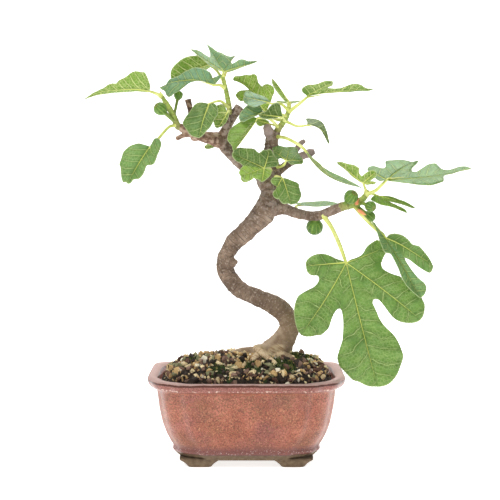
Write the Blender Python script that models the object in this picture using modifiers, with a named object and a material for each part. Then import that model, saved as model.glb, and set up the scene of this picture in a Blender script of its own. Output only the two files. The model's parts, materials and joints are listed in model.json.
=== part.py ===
"""Fig bonsai in a glazed pot with indented corners.

Everything is laid out in millimetres round the middle of the pot's footprint, with the soles of the
pot's feet at SOLE_Z, X to the right, Y to the back and Z up. At the end one empty carries all the
pieces to the middle of the whole plant's box and its bottom.
"""
import math

import bmesh
import bpy
import numpy as np
from mathutils import Matrix, Vector
from mathutils.geometry import delaunay_2d_cdt

MM = 0.001
SEED = 43
GAP = 0.3  # between pieces that touch

# Pot: half length and half depth over the rim, and heights
RIM_X = 102.4
RIM_Y = 77.0
SOLE_Z = -4.0
POT_FLOOR = 11.0
DRAIN_X = 36.0
DRAIN_RADIUS = 8.0
SCREEN_SIDE = 28.0
SCREEN_THICK = 1.0

# Pot wall, from the base edge up its outside, over the rim and down its inside:
# (inset from the rim's outline, height)
POT_OUTSIDE = (
    (33.0, 4.0), (30.5, 6.5), (25.0, 12.5), (26.2, 16.0), (23.6, 20.5), (19.2, 29.5),
    (15.2, 41.0), (12.0, 57.0), (9.6, 77.0), (3.0, 78.6), (1.0, 81.0), (0.0, 85.6),
    (1.4, 88.0),
)
POT_INSIDE = (
    (9.0, 87.4), (10.6, 85.0), (16.6, 76.0), (19.6, 55.0), (26.4, 30.0), (33.0, 17.0), (40.0, 11.0),
)
# Outline of a quarter of the rim, from the side panel to the front panel:
# (inset from the half length, share of the half depth)
CORNER = (
    (0.0, 0.0), (0.0, 0.40), (0.3, 0.49), (2.0, 0.545), (4.6, 0.595), (6.2, 0.68), (9.6, 0.77),
    (15.0, 0.845), (21.0, 0.885), (26.0, 0.905), (28.6, 0.955), (31.5, 0.993), (36.0, 1.0),
)
# Feet: middle of each foot, half sizes where it leaves the pot, over its sole and where it stands,
# the height of the first two, and the height that it reaches inside the pot's floor
FOOT_X = 48.0
FOOT_Y = 30.0
FOOT_ROOT = (21.0, 13.5)
FOOT_WAIST = (17.0, 12.5)
FOOT_SOLE = (12.5, 10.0)
FOOT_ROOT_Z = 4.0
FOOT_WAIST_Z = -1.0
FOOT_TOP_Z = 5.5

# Soil: height of its edge, how far that edge stays off the pot's wall, and its filling over the edge
SOIL_EDGE_Z = 82.0
SOIL_CLEARANCE = 0.5
FILL_RISE = 21.0  # all over, falling off close to the wall
HILL_RISE = 7.5  # and this much more round the trunk
HILL_AT = (14.0, 4.0)
HILL_SPREAD = (60.0, 48.0)
GRAIN = 6.4
GRAIN_RELIEF = 1.5

WOOD_SIDES = 3  # a curve's bevel resolution: 10 sides
SHOOT_SIDES = 2  # 8 sides
STALK_SIDES = 1  # 6 sides
TRUNK_STEPS = 2  # to each stretch between the points below
LIMB_STEPS = 2
SHOOT_STEPS = 2
ROWS_IN_SOIL = 9  # of the trunk's course, for the hole that it stands in
BLADE_THICK = 0.8

# Wood: (x, y, z, radius) along each limb, from where it starts
TRUNK = (
    (20, 1, 62, 11.5), (18, 0, 84, 13.5), (20, 0, 100, 15), (26, 0, 112, 14), (35, -2, 125, 11.6),
    (42.5, -4, 138, 10.6), (39, -4, 152, 10.2), (27, -3, 161, 9.6), (10, -2, 168, 9.0),
    (-5, 0, 175, 8.6), (-16, 2, 185, 9.2), (-22, 3, 198, 8.8), (-22, 3, 210, 8.4), (-16, 2, 222, 8.8),
    (-6, 1, 232, 9.6), (6, 0, 243, 10.2), (16, 0, 254, 11.6), (23, 0, 266, 12.0), (26.5, 1, 280, 10.4),
    (27.5, 2, 293, 9.6), (26, 4, 308, 8.0), (25, 5, 322, 6.6), (27, 6, 333, 5.0),
)
LIMBS = {
    "right branch": (
        (22, 0, 262, 7.5), (38, -3, 261, 5.6), (52, -6, 256.5, 5.3), (64, -8, 254, 5.0),
        (76, -10, 254.5, 4.9), (88, -12, 259, 4.7), (97, -13, 262.5, 4.6),
    ),
    "left branch": (
        (25, 2, 286, 8.0), (15, 6, 297, 6.6), (2, 9, 303, 6.2), (-7, 9, 309, 6.0), (-15, 8, 317, 5.9),
        (-23, 6, 327, 6.2), (-26, 5, 335, 6.0),
    ),
    "left twig": (
        (-24, 6, 332, 5.6), (-36, 2, 334.5, 5.4), (-48, -1, 336, 4.6), (-59, -3, 340, 4.2),
        (-69, -4, 346, 3.6),
    ),
    "pruned stump": ((-27, 6, 331, 5.2), (-22, 3, 343, 4.9), (-15, 1, 356, 4.6), (-7.5, -2, 367, 4.7)),
    "top spur": ((-24, 5, 336, 4.2), (-21, -4, 349, 3.4), (-18.4, -7, 360, 2.8)),
    "grey stump": ((-52, 1, 335, 4.0), (-57, 7, 352, 3.1), (-59, 10, 364, 3.0), (-61.5, 11, 375, 3.3)),
    "twig nub": ((-60, -3, 340, 2.6), (-66, -6, 337, 2.2), (-72, -8, 334, 2.3)),
    "centre spur": ((26, 6, 326, 5.2), (29, 5.5, 334, 4.0), (32, 4.6, 341, 3.4)),
    "round stub": ((26, 5, 330, 3.6), (25, 2, 337, 3.4), (23.5, -1, 342, 4.2), (22, -3, 345, 2.6)),
    "right stub": ((27, 2, 297, 5.0), (37, 3, 303, 4.2), (48, 1, 311, 4.0), (58, 0, 316, 3.8),
                   (66, 0, 319, 4.2), (71, 0, 320.5, 2.8)),
    "dark stub": ((46, 1, 309, 3.4), (51, 6, 320, 2.8), (57, 10, 329, 2.9), (61, 12, 332, 2.2)),
    "knob low": ((-22, 2, 203, 6.0), (-15, -5, 205, 4.4), (-11.5, -8, 205.5, 2.2)),
    "root right": ((22, 0, 103, 9.0), (35, -10, 107.5, 5.0), (47, -17, 104.5, 3.6), (60, -24, 93, 2.4)),
    "root front": ((20, 0, 103, 9.0), (15, -13, 108.5, 5.6), (9, -24, 106.5, 4.0), (2, -36, 95, 2.6)),
    "root left": ((20, 0, 103, 9.0), (3, 3, 109, 5.2), (-11, 8, 107.5, 3.6), (-27, 12, 96, 2.6)),
    "root back": ((22, 2, 103, 9.0), (29, 14, 109, 5.0), (35, 26, 106, 3.6), (41, 40, 93, 2.6)),
}
ROOTED = ("root right", "root front", "root left", "root back")
LONG_LIMBS = ("right branch", "left branch", "left twig", "pruned stump", "right stub")

# Green shoots: the wood whose end each continues, and (x, y, z, radius) from there to its tip
SHOOTS = {
    "shoot_top": ("top spur", ((-18.5, -7, 370, 2.6), (-21, -6, 383, 2.3), (-24, -5, 397, 1.7))),
    "shoot_left": ("left twig", ((-76, -6, 358, 3.1), (-82, -8, 368, 3.0), (-87, -9, 377, 1.8))),
    "shoot_centre": ("centre spur", ((37, 3, 349, 3.0), (42, 2, 357, 2.6), (44.5, 1, 366, 1.7))),
    "shoot_right": ("right branch", ((106, -14, 265, 4.4), (114, -15, 267, 4.2), (121, -16, 272, 3.3),
                                     (125, -16, 279, 2.0))),
}

# Figs: where the stalk starts, the middle of the body, the body's diameter, and what it grows on
FIGS = {
    "fig_left_low": ((-70, -6, 352), (-88.5, -17, 364), 13.2, "shoot_left"),
    "fig_left_high": ((-73, -6, 357), (-71, 2, 379), 9.4, "shoot_left"),
    "fig_branch_top": ((101, -13, 264), (107, -23, 273), 14.4, "shoot_right"),
    "fig_tip_front": ((117, -15, 268), (127, -29, 264), 11.4, "shoot_right"),
    "fig_tip_low": ((112, -14, 266), (127.5, -15, 253), 11.8, "shoot_right"),
    "fig_branch_under": ((72, -8, 253), (71.5, -1, 242.5), 17.5, "right branch"),
}
# Turned half section of a fig of diameter 1, from its eye to the foot of its stalk: (radius, height)
FIG_SECTION = (
    (0.0, 0.46), (0.08, 0.455), (0.13, 0.50), (0.30, 0.44), (0.45, 0.27), (0.50, 0.04), (0.44, -0.22),
    (0.29, -0.46), (0.17, -0.62),
)
FIG_STEPS = 10
SHOW_SMOOTH = 50  # degrees; edges under this angle are shown smooth
STALK_RADIUS = 1.5
STALK_END = 0.8

# Leaf shapes, in lengths of the middle vein. Each lobe: angle from the middle vein in degrees (+ to
# the right of the upper face), length, half width at the neck, widest half width on its left and on
# its right, and where along the lobe that is. Between neighbours lies a notch: angle and distance
# from the leaf's foot. Over 1, tip makes the lobes' ends more pointed than half an ellipse.
SHAPES = {
    "broad": {
        "lobes": ((-105, 0.30, 0.10, 0.08, 0.12, 0.60), (-38, 0.74, 0.15, 0.18, 0.075, 0.70),
                  (0, 1.0, 0.125, 0.26, 0.25, 0.76), (43, 0.69, 0.13, 0.125, 0.19, 0.68),
                  (103, 0.335, 0.09, 0.12, 0.08, 0.62)),
        "notches": ((-77, 0.27), (-21.5, 0.375), (21.5, 0.37), (74, 0.255)),
    },
    "hand": {
        "lobes": ((-112, 0.30, 0.09, 0.09, 0.12, 0.60), (-50, 0.62, 0.11, 0.15, 0.12, 0.62),
                  (0, 1.0, 0.10, 0.17, 0.17, 0.62), (50, 0.62, 0.11, 0.12, 0.15, 0.62),
                  (112, 0.30, 0.09, 0.12, 0.09, 0.60)),
        "notches": ((-82, 0.24), (-25, 0.36), (25, 0.36), (82, 0.24)),
    },
    "three": {
        "lobes": ((-62, 0.62, 0.16, 0.12, 0.20, 0.52), (0, 1.0, 0.20, 0.24, 0.24, 0.55),
                  (62, 0.62, 0.16, 0.20, 0.12, 0.52)),
        "notches": ((-33, 0.46), (33, 0.46)),
    },
    "spread": {
        "lobes": ((-46, 1.0, 0.10, 0.09, 0.13, 0.55), (0, 1.0, 0.16, 0.17, 0.18, 0.62),
                  (46, 0.72, 0.10, 0.12, 0.10, 0.75), (82, 0.95, 0.10, 0.13, 0.10, 0.60)),
        "notches": ((-23, 0.52), (24, 0.56), (64, 0.46)),
        "tip": 1.4,
    },
    "deep": {
        "lobes": ((-90, 0.30, 0.10, 0.08, 0.10, 0.60), (-35, 0.88, 0.12, 0.19, 0.11, 0.62),
                  (0, 1.0, 0.10, 0.14, 0.17, 0.68), (40, 0.70, 0.10, 0.10, 0.14, 0.62)),
        "notches": ((-68, 0.28), (-18, 0.42), (20, 0.42)),
    },
    "long": {
        "lobes": ((-112, 0.30, 0.09, 0.09, 0.12, 0.60), (-52, 0.60, 0.11, 0.15, 0.12, 0.60),
                  (0, 1.0, 0.17, 0.26, 0.26, 0.46), (52, 0.60, 0.11, 0.12, 0.15, 0.60),
                  (112, 0.30, 0.09, 0.12, 0.09, 0.60)),
        "notches": ((-82, 0.25), (-30, 0.40), (30, 0.40), (82, 0.25)),
        "tip": 1.35,
    },
    "young": {
        "lobes": ((-98, 0.50, 0.12, 0.10, 0.15, 0.55), (0, 1.0, 0.15, 0.20, 0.16, 0.42)),
        "notches": ((-46, 0.26),),
        "tip": 1.3,
    },
    "pointed": {"lobes": ((0, 1.0, 0.36, 0.40, 0.40, 0.22),), "notches": (), "tip": 1.8},
    "lance": {"lobes": ((0, 1.0, 0.24, 0.28, 0.28, 0.50),), "notches": (), "tip": 1.2},
    "oval": {"lobes": ((0, 1.0, 0.34, 0.38, 0.38, 0.50),), "notches": ()},
    "round": {"lobes": ((0, 1.0, 0.46, 0.50, 0.50, 0.46),), "notches": ()},
    "slim": {"lobes": ((0, 1.0, 0.15, 0.19, 0.19, 0.48),), "notches": ()},
}

# Leaves: shape, length of the middle vein, what it grows on, the petiole's course to the leaf's foot,
# where the middle vein points, where the upper face looks, and three angles in degrees:
# bend along the middle vein (+ back), fold of the halves towards the upper face, arch across (+ back)
LEAVES = {
    "leaf_left_far": ("pointed", 69, "shoot_left", ((-88, -9, 378), (-94, -11, 380.5), (-101, -12, 383)),
                      (-1, -0.05, -0.12), (0, 0.35, 0.94), (6, 30, 4)),
    "leaf_left_hanging": ("oval", 47, "shoot_left", ((-71, -5, 349), (-81, -12, 345), (-90, -20, 334),
                                                    (-98, -26, 325)),
                          (-0.55, -0.12, -0.82), (-0.25, -1, 0.25), (8, 16, 20)),
    "leaf_left_round": ("round", 36, "shoot_top", ((-18, -7, 365), (-27, -18, 372), (-38, -26, 369)),
                        (-0.30, -0.20, -0.93), (-0.1, -1, 0.25), (10, 10, 30)),
    "leaf_left_small": ("round", 18, "shoot_top", ((-18, -7, 362), (-19, -13, 362), (-19.5, -16, 360)),
                        (-0.70, -0.05, -0.55), (0.1, 1, 0.3), (5, 10, 10)),
    "leaf_top": ("spread", 43, "shoot_top", ((-24, -5, 397), (-24, -5, 400), (-24, -5, 403)),
                 (-0.38, 0.58, 0.72), (0.15, -0.72, 0.66), (4, 12, 0)),
    "leaf_top_curled": ("lance", 61, "shoot_top", ((-22, -5, 386), (-28, -10, 389), (-33.5, -14, 388.6)),
                        (-0.76, -0.12, 0.64), (0.35, -0.75, 0.55), (92, 12, 12)),
    "leaf_top_back": ("oval", 42, "shoot_top", ((-23, -2, 392), (-31, 8, 405), (-40, 14, 412)),
                      (-0.93, 0.1, -0.28), (0, 0.55, 0.83), (10, 22, 0)),
    "leaf_centre_lime": ("three", 50, "shoot_centre", ((40, 4, 353), (30, 13, 355), (21, 20, 362)),
                         (-0.58, 0.2, 0.74), (0.3, 0.9, 0.3), (0, 10, 10)),
    "leaf_centre_blue": ("oval", 38, "shoot_centre", ((44, -1, 363), (35, -7, 370), (26, -11, 370)),
                         (-1, -0.2, 0.12), (0, -0.5, 0.87), (16, 14, 10)),
    "leaf_centre_low": ("oval", 27, "shoot_centre", ((42, -1, 357), (28, -9, 362), (17, -15, 361)),
                        (-0.95, -0.2, -0.3), (-0.2, -0.6, 0.8), (10, 14, 10)),
    "leaf_centre_dark": ("round", 25, "shoot_centre", ((39, -1, 352), (40, -14, 352), (37, -26, 355)),
                         (-0.95, -0.25, -0.1), (0.1, -0.75, 0.65), (10, 24, 10)),
    "leaf_centre_hanging": ("slim", 44, "shoot_centre", ((35, 1, 344), (24, -10, 354), (12, -17, 355)),
                            (-0.62, -0.1, -0.78), (-0.6, -0.65, 0.3), (-10, 20, 0)),
    "leaf_centre_small": ("oval", 15, "shoot_centre", ((34, 6, 345), (30, 10, 348), (24, 12, 350)),
                          (-1, 0.1, -0.15), (0, 0.7, 0.7), (10, 10, 10)),
    "leaf_centre_upright": ("slim", 29, "shoot_centre", ((44.5, 1, 366), (44.3, 1, 369), (43.5, 1, 373)),
                            (-0.5, 0.1, 0.85), (-0.8, 0.5, -0.4), (-10, 30, 0)),
    "leaf_centre_behind": ("oval", 34, "shoot_centre", ((43, 4, 361), (44, 12, 368), (43, 20, 373)),
                           (0.1, 0.98, 0.1), (0, -0.1, 1), (10, 8, 10)),
    "leaf_upper_right": ("long", 71, "shoot_centre", ((45, 0, 361), (55, -2, 370), (63, -3, 377)),
                         (1, 0, 0.17), (0, 0.22, 0.97), (6, 12, 6)),
    "leaf_right_bent": ("oval", 32, "shoot_centre", ((41, 3, 352), (53, 1, 347), (63, -4, 348)),
                        (0.85, -0.2, -0.2), (0.25, -0.35, 0.9), (62, 14, 10)),
    "leaf_right_drooping": ("slim", 72, "centre spur", ((32, 5, 336), (42, -8, 334), (56, -15, 326),
                                                       (63, -16, 319)),
                            (0.48, 0.24, -0.84), (0.87, 0, 0.50), (-56, 12, 0)),
    "leaf_tip_edge": ("lance", 47, "shoot_right", ((124, -13, 276), (129, -8, 277), (134, -4, 276)),
                      (0.95, 0.12, -0.30), (0.25, 0.1, 0.96), (4, -50, 0)),
    "leaf_branch_behind": ("oval", 46, "right branch", ((54, -4, 258), (52, 4, 263), (54, 12, 264)),
                           (1, 0.12, 0.05), (0, -0.12, 1), (4, 8, 10)),
    "leaf_middle_fan": ("three", 30, "trunk", ((32, -3, 303), (38, -10, 306), (41, -16, 311)),
                        (0.02, 0.70, 0.62), (0.1, -0.70, 0.70), (10, 10, 20)),
    "leaf_over_trunk": ("round", 29, "trunk", ((28, -6, 290), (31, -14, 295), (37, -21, 293)),
                        (0.2, -0.30, -0.93), (0.1, -0.95, 0.35), (12, 12, 20)),
    "leaf_middle_dark": ("three", 40, "trunk", ((27, -4, 299), (24, -14, 303), (18, -21, 303)),
                         (-0.82, -0.25, 0.42), (0, -1, 0.25), (10, 12, 20)),
    "leaf_middle_small": ("oval", 15, "trunk", ((20, -3, 292), (13, -8, 298), (7, -10, 299)),
                          (-0.8, -0.1, -0.55), (0, -1, 0.3), (10, 10, 10)),
    "leaf_tip_young": ("young", 36, "shoot_right", ((124, -17, 277), (122.5, -20, 282), (120, -22.4, 288)),
                       (-0.76, 0.1, 0.62), (0.45, 0.8, 0.4), (0, 20, 0)),
    "leaf_right_big": ("long", 88, "shoot_right", ((123, -17, 275), (134, -22, 281), (144.5, -26, 292)),
                       (1, 0.03, 0.14), (0, -0.36, 0.93), (3, 5, 5)),
    "leaf_right_folded": ("deep", 72, "shoot_right", ((111, -16, 262), (122, -27, 251), (132, -37, 241),
                                                     (140.5, -45, 232)),
                          (0.52, -0.15, -0.84), (0.72, -0.48, 0.46), (8, 22, 4)),
    "leaf_biggest": ("broad", 131, "right branch", ((80, -13, 253), (88, -21, 242), (95.5, -28.5, 225),
                                                    (102, -34, 206.5)),
                     (0.235, -0.12, -0.965), (-0.05, -1, 0.14), (5, 5, 14)),
    "leaf_twig_under": ("round", 14, "left twig", ((-37, 2, 334.5), (-34, 10, 332.5), (-31.5, 14.5, 330)),
                        (-0.9, -0.1, -0.42), (0, 0.4, -0.9), (5, 8, 10)),
}
PETIOLE_RADIUS = (1.25, 0.85)  # at the stem, and at the leaf's foot
PAST_END = 0.66  # a petiole that leaves a stem's end this much along it continues it
LONG_PETIOLE = 24  # longer ones have more facets along them
VEIN_SPAN = 0.96  # a lobe's vein ends this far along it
FINE_FROM = 40  # leaves longer than this have more facets along them
WIDE_FROM = 80  # and than this, across them

COLOURS = {
    "glaze": ((0.50, 0.22, 0.17), 0.35),
    "soil": ((0.23, 0.17, 0.11), 0.95),
    "screen": ((0.05, 0.05, 0.05), 0.6),
    "bark": ((0.26, 0.19, 0.14), 0.85),
    "shoot": ((0.45, 0.55, 0.12), 0.5),
    "fig": ((0.06, 0.16, 0.03), 0.45),
    "leaf": ((0.12, 0.30, 0.07), 0.55),
}


def clear_scene():
    """Remove the objects that the scene starts with."""
    for found in list(bpy.data.objects):
        bpy.data.objects.remove(found, do_unlink=True)


def new_collection(name):
    made = bpy.data.collections.new(name)
    bpy.context.scene.collection.children.link(made)
    return made


def material(name, finish):
    """A plain material of its own for one piece."""
    colour, roughness = COLOURS[finish]
    made = bpy.data.materials.new(name)
    made.use_nodes = True
    shader = made.node_tree.nodes["Principled BSDF"]
    shader.inputs["Base Color"].default_value = (*colour, 1.0)
    shader.inputs["Roughness"].default_value = roughness
    shader.inputs["Metallic"].default_value = 0.0
    return made


def place(name, mesh, group, finish=None, smooth_below=None):
    """Put a mesh in the scene as one named piece."""
    piece = bpy.data.objects.new(name, mesh)
    group.objects.link(piece)
    if finish:
        mesh.materials.clear()
        mesh.materials.append(material(name, finish))
    if smooth_below:
        mesh.shade_smooth()
        mesh.set_sharp_from_angle(angle=math.radians(smooth_below))
    return piece


def evaluated_mesh(piece):
    """The mesh that a piece's curve or modifiers give."""
    graph = bpy.context.evaluated_depsgraph_get()
    return bpy.data.meshes.new_from_object(piece.evaluated_get(graph), depsgraph=graph)


def weld(mesh, distance=1e-6):
    """Merge doubled corners and point every face outwards."""
    work = bmesh.new()
    work.from_mesh(mesh)
    bmesh.ops.remove_doubles(work, verts=work.verts, dist=distance)
    bmesh.ops.recalc_face_normals(work, faces=work.faces)
    work.to_mesh(mesh)
    work.free()
    return mesh


def bake_modifiers(piece):
    """Replace a piece's mesh by what its modifiers make of it."""
    mesh = evaluated_mesh(piece)
    piece.modifiers.clear()
    piece.data = mesh
    return piece


def combine(piece, others, operation, solver="EXACT"):
    """Join or cut a piece with a collection of others, which are then removed."""
    group = new_collection(piece.name + " tools")
    for other in others:
        for owner in list(other.users_collection):
            owner.objects.unlink(other)
        group.objects.link(other)
        other.hide_render = True
        other.display_type = "WIRE"
    cut = piece.modifiers.new("combine", "BOOLEAN")
    cut.operation = operation
    cut.operand_type = "COLLECTION"
    cut.collection = group
    cut.solver = solver
    bake_modifiers(piece)
    for other in others:
        bpy.data.objects.remove(other, do_unlink=True)
    bpy.data.collections.remove(group)
    return piece


def smooth_path(points, steps):
    """A smooth curve through points, by Catmull and Rom's cubic, steps to each stretch."""
    rows = np.array(points, dtype=float)
    before = 2 * rows[0] - rows[1]
    after = 2 * rows[-1] - rows[-2]
    rows = np.vstack([before, rows, after])
    share = np.linspace(0, 1, steps, endpoint=False)[:, None]
    parts = []
    for a, b, c, d in zip(rows[:-3], rows[1:-2], rows[2:-1], rows[3:]):
        parts.append(0.5 * (2 * b + (c - a) * share + (2 * a - 5 * b + 4 * c - d) * share**2
                            + (3 * b - a - 3 * c + d) * share**3))
    return np.vstack(parts + [rows[-2][None, :]])


def tube(name, rows, sides, group):
    """A round limb through rows of (x, y, z, radius), as a closed mesh."""
    curve = bpy.data.curves.new(name, "CURVE")
    curve.dimensions = "3D"
    curve.bevel_depth = MM
    curve.bevel_resolution = sides
    curve.use_fill_caps = True
    spline = curve.splines.new("POLY")
    spline.points.add(len(rows) - 1)
    for point, row in zip(spline.points, rows):
        point.co = (row[0] * MM, row[1] * MM, row[2] * MM, 1.0)
        point.radius = row[3]
    guide = bpy.data.objects.new(name + " guide", curve)
    group.objects.link(guide)
    mesh = weld(evaluated_mesh(guide))
    made = bpy.data.objects.new(name, mesh)
    made.matrix_world = guide.matrix_world
    group.objects.link(made)
    bpy.data.objects.remove(guide, do_unlink=True)
    return made


def hole_rows(rows, sides):
    """The course of a plain hole round a limb: wider by the gap, and longer by it at each end."""
    rows = np.array(rows)
    corners = 4 + 2 * sides
    rows[:, 3] = (rows[:, 3] + GAP) / math.cos(math.pi / corners)
    for end, inner in ((0, 1), (-1, -2)):
        out = rows[end, :3] - rows[inner, :3]
        rows[end, :3] += out / np.linalg.norm(out) * 2 * GAP
    return rows


def pot_outline(inset):
    """The pot's outline at an inset from the rim, as points round the middle."""
    half_y = RIM_Y - inset
    quarter = []
    for step_in, share in CORNER:
        quarter.append((RIM_X - inset - step_in, share * half_y))
    right_back = quarter
    left_back = [(-x, y) for x, y in reversed(quarter)]
    left_front = [(-x, -y) for x, y in quarter[1:]]
    right_front = [(x, -y) for x, y in reversed(quarter[1:])]
    return right_back + left_back + left_front + right_front


def loft(rings):
    """A closed mesh through rings of equally many points, with flat ends."""
    work = bmesh.new()
    loops = []
    for outline, height in rings:
        loops.append([work.verts.new((x * MM, y * MM, height * MM)) for x, y in outline])
    for lower, upper in zip(loops[:-1], loops[1:]):
        for i, corner in enumerate(lower):
            after = (i + 1) % len(lower)
            work.faces.new((corner, lower[after], upper[after], upper[i]))
    work.faces.new(reversed(loops[0]))
    work.faces.new(loops[-1])
    bmesh.ops.recalc_face_normals(work, faces=work.faces)
    mesh = bpy.data.meshes.new("loft")
    work.to_mesh(mesh)
    work.free()
    return mesh


def drain_cutter(side, group):
    bpy.ops.mesh.primitive_cylinder_add(vertices=24, radius=DRAIN_RADIUS * MM, depth=40 * MM,
                                        location=(side * DRAIN_X * MM, 0, POT_FLOOR * MM))
    cutter = bpy.context.object
    for owner in list(cutter.users_collection):
        owner.objects.unlink(cutter)
    group.objects.link(cutter)
    return cutter


def foot(side_x, side_y, group):
    """A foot with sloping flanks, sunk into the pot's underside."""
    root = [(u * FOOT_ROOT[0], v * FOOT_ROOT[1]) for u, v in rounded_square()]
    waist = [(u * FOOT_WAIST[0], v * FOOT_WAIST[1]) for u, v in rounded_square()]
    sole = [(u * FOOT_SOLE[0], v * FOOT_SOLE[1]) for u, v in rounded_square()]
    mesh = loft([(sole, SOLE_Z), (waist, FOOT_WAIST_Z), (root, FOOT_ROOT_Z), (root, FOOT_TOP_Z)])
    made = place("foot", mesh, group)
    made.data.transform(Matrix.Translation((side_x * FOOT_X * MM, side_y * FOOT_Y * MM, 0)))
    return made


def rounded_square(cut=0.25):
    """A square of half side 1 with its corners cut."""
    rest = 1 - cut
    return ((1, -rest), (1, rest), (rest, 1), (-rest, 1), (-1, rest), (-1, -rest), (-rest, -1), (rest, -1))


def build_pot(group, cutters):
    """The pot: one wall lofted from its outside over the rim to its inside, feet and drain holes."""
    rings = [(pot_outline(inset), height) for inset, height in POT_OUTSIDE + POT_INSIDE]
    pot = place("pot", loft(rings), group, "glaze")
    feet = [foot(sx, sy, cutters) for sx in (-1, 1) for sy in (-1, 1)]
    combine(pot, feet, "UNION")
    combine(pot, [drain_cutter(side, cutters) for side in (-1, 1)], "DIFFERENCE")
    pot.data.shade_smooth()
    pot.data.set_sharp_from_angle(angle=math.radians(SHOW_SMOOTH))
    return pot


def build_screens(group):
    """Drainage screens: square meshes with square holes, flat on the pot's floor."""
    cells = 5
    for name, side in (("screen_left", -1), ("screen_right", 1)):
        work = bmesh.new()
        bmesh.ops.create_grid(work, x_segments=cells, y_segments=cells, size=SCREEN_SIDE / 2 * MM)
        pitch = SCREEN_SIDE * MM / cells
        holes = []
        for face in work.faces:
            middle = face.calc_center_median()
            column = round(middle.x / pitch + (cells - 1) / 2)
            row = round(middle.y / pitch + (cells - 1) / 2)
            if column % 2 and row % 2:
                holes.append(face)
        bmesh.ops.delete(work, geom=holes, context="FACES")
        mesh = bpy.data.meshes.new(name)
        work.to_mesh(mesh)
        work.free()
        screen = place(name, mesh, group, "screen")
        screen.location = (side * DRAIN_X * MM, 0, (POT_FLOOR + GAP) * MM)
        solid = screen.modifiers.new("thickness", "SOLIDIFY")
        solid.thickness = SCREEN_THICK * MM
        solid.offset = 1.0


def inside_outline(height, clearance):
    """The soil's outline at a height: the pot's inner wall less a clearance."""
    insets, heights = zip(*POT_INSIDE)
    inset = float(np.interp(-height, [-h for h in heights], insets))
    return pot_outline(inset + clearance)


def mound_height(x, y, edge_share):
    """Height of the soil before its grains: a flat filling with a low hill round the trunk.

    edge_share is 1 at the wall and 0 in the middle.
    """
    off = ((x - HILL_AT[0]) / HILL_SPREAD[0])**2 + ((y - HILL_AT[1]) / HILL_SPREAD[1])**2
    return SOIL_EDGE_Z + FILL_RISE * (1 - edge_share**9) + HILL_RISE * math.exp(-off)


def build_soil(group, cutters):
    """The soil: its surface is a net of jittered grains, each raised or sunk, down to the screens."""
    draw = np.random.default_rng(SEED)
    edge = [Vector(p) for p in inside_outline(SOIL_EDGE_Z, SOIL_CLEARANCE)]
    points = list(edge)
    row_step = GRAIN * math.sqrt(3) / 2
    rows = int(RIM_Y / row_step) + 1
    columns = int(RIM_X / GRAIN) + 1
    for j in range(-rows, rows + 1):
        for i in range(-columns, columns + 1):
            jitter = draw.uniform(-0.22, 0.22, 2) * GRAIN
            spot = Vector(((i + 0.5 * (j % 2)) * GRAIN + jitter[0], j * row_step + jitter[1]))
            if edge_share(spot, edge) < 0.955:
                points.append(spot)
    count = len(edge)
    border = [(i, (i + 1) % count) for i in range(count)]
    spots, _, faces, *_ = delaunay_2d_cdt(points, border, [], 1, 1e-4)
    heights = []
    for k, spot in enumerate(spots):
        if k < count:
            heights.append(SOIL_EDGE_Z)
            continue
        share = edge_share(spot, edge)
        heights.append(mound_height(spot.x, spot.y, share) + draw.uniform(-1, 1) * GRAIN_RELIEF)
    work = bmesh.new()
    top = [work.verts.new((s.x * MM, s.y * MM, h * MM)) for s, h in zip(spots, heights)]
    for face in faces:
        work.faces.new([top[k] for k in face])
    above = top[:count]
    bottom_z = POT_FLOOR + GAP + SCREEN_THICK + GAP
    for height in (76.0, 55.0, 30.0, 17.0, bottom_z):
        wall = inside_outline(height, SOIL_CLEARANCE)
        ring = [work.verts.new((x * MM, y * MM, height * MM)) for x, y in wall]
        for i in range(count):
            after = (i + 1) % count
            work.faces.new((above[i], ring[i], ring[after], above[after]))
        above = ring
    work.faces.new(above)
    bmesh.ops.recalc_face_normals(work, faces=work.faces)
    mesh = bpy.data.meshes.new("soil")
    work.to_mesh(mesh)
    work.free()
    soil = place("soil", mesh, group, "soil")
    lowest = smooth_path(TRUNK, TRUNK_STEPS)[:ROWS_IN_SOIL]
    holes = [tube("trunk hole", hole_rows(lowest, WOOD_SIDES), WOOD_SIDES, cutters)]
    for name in ROOTED:
        holes.append(tube(name + " hole", hole_rows(limb_rows(name), SHOOT_SIDES), SHOOT_SIDES, cutters))
    joined = combine(holes[0], holes[1:], "UNION")
    return combine(soil, [joined], "DIFFERENCE")


def edge_share(spot, edge):
    """How far out a spot lies, from 0 in the middle to 1 on the edge, past which it is over 1."""
    angle = math.atan2(spot.y, spot.x)
    best = 1e9
    for a, b in zip(edge, edge[1:] + edge[:1]):
        span = b - a
        across = math.cos(angle) * span.y - math.sin(angle) * span.x
        if abs(across) < 1e-9:
            continue
        reach = (a.x * span.y - a.y * span.x) / across
        along = (math.sin(angle) * a.x - math.cos(angle) * a.y) / across
        if reach > 0 and -1e-6 <= along <= 1 + 1e-6:
            best = min(best, reach)
    return spot.length / best


def build_wood(group, cutters):
    """Trunk, surface roots, branches, stumps and stubs, grown as one piece."""
    trunk = tube("trunk", smooth_path(TRUNK, TRUNK_STEPS), WOOD_SIDES, group)
    trunk.data.materials.append(material("trunk", "bark"))
    limbs = []
    for name in LIMBS:
        sides = SHOOT_SIDES if name in LONG_LIMBS + ROOTED else STALK_SIDES
        limbs.append(tube(name, limb_rows(name), sides, cutters))
    combine(trunk, limbs, "UNION")
    trunk.data.shade_smooth()
    trunk.data.set_sharp_from_angle(angle=math.radians(SHOW_SMOOTH))
    return trunk


def limb_rows(name):
    """A limb's smooth course, with more steps where it is long or rooted."""
    steps = LIMB_STEPS if name in LONG_LIMBS + ROOTED else 1
    return smooth_path(LIMBS[name], steps)


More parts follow.
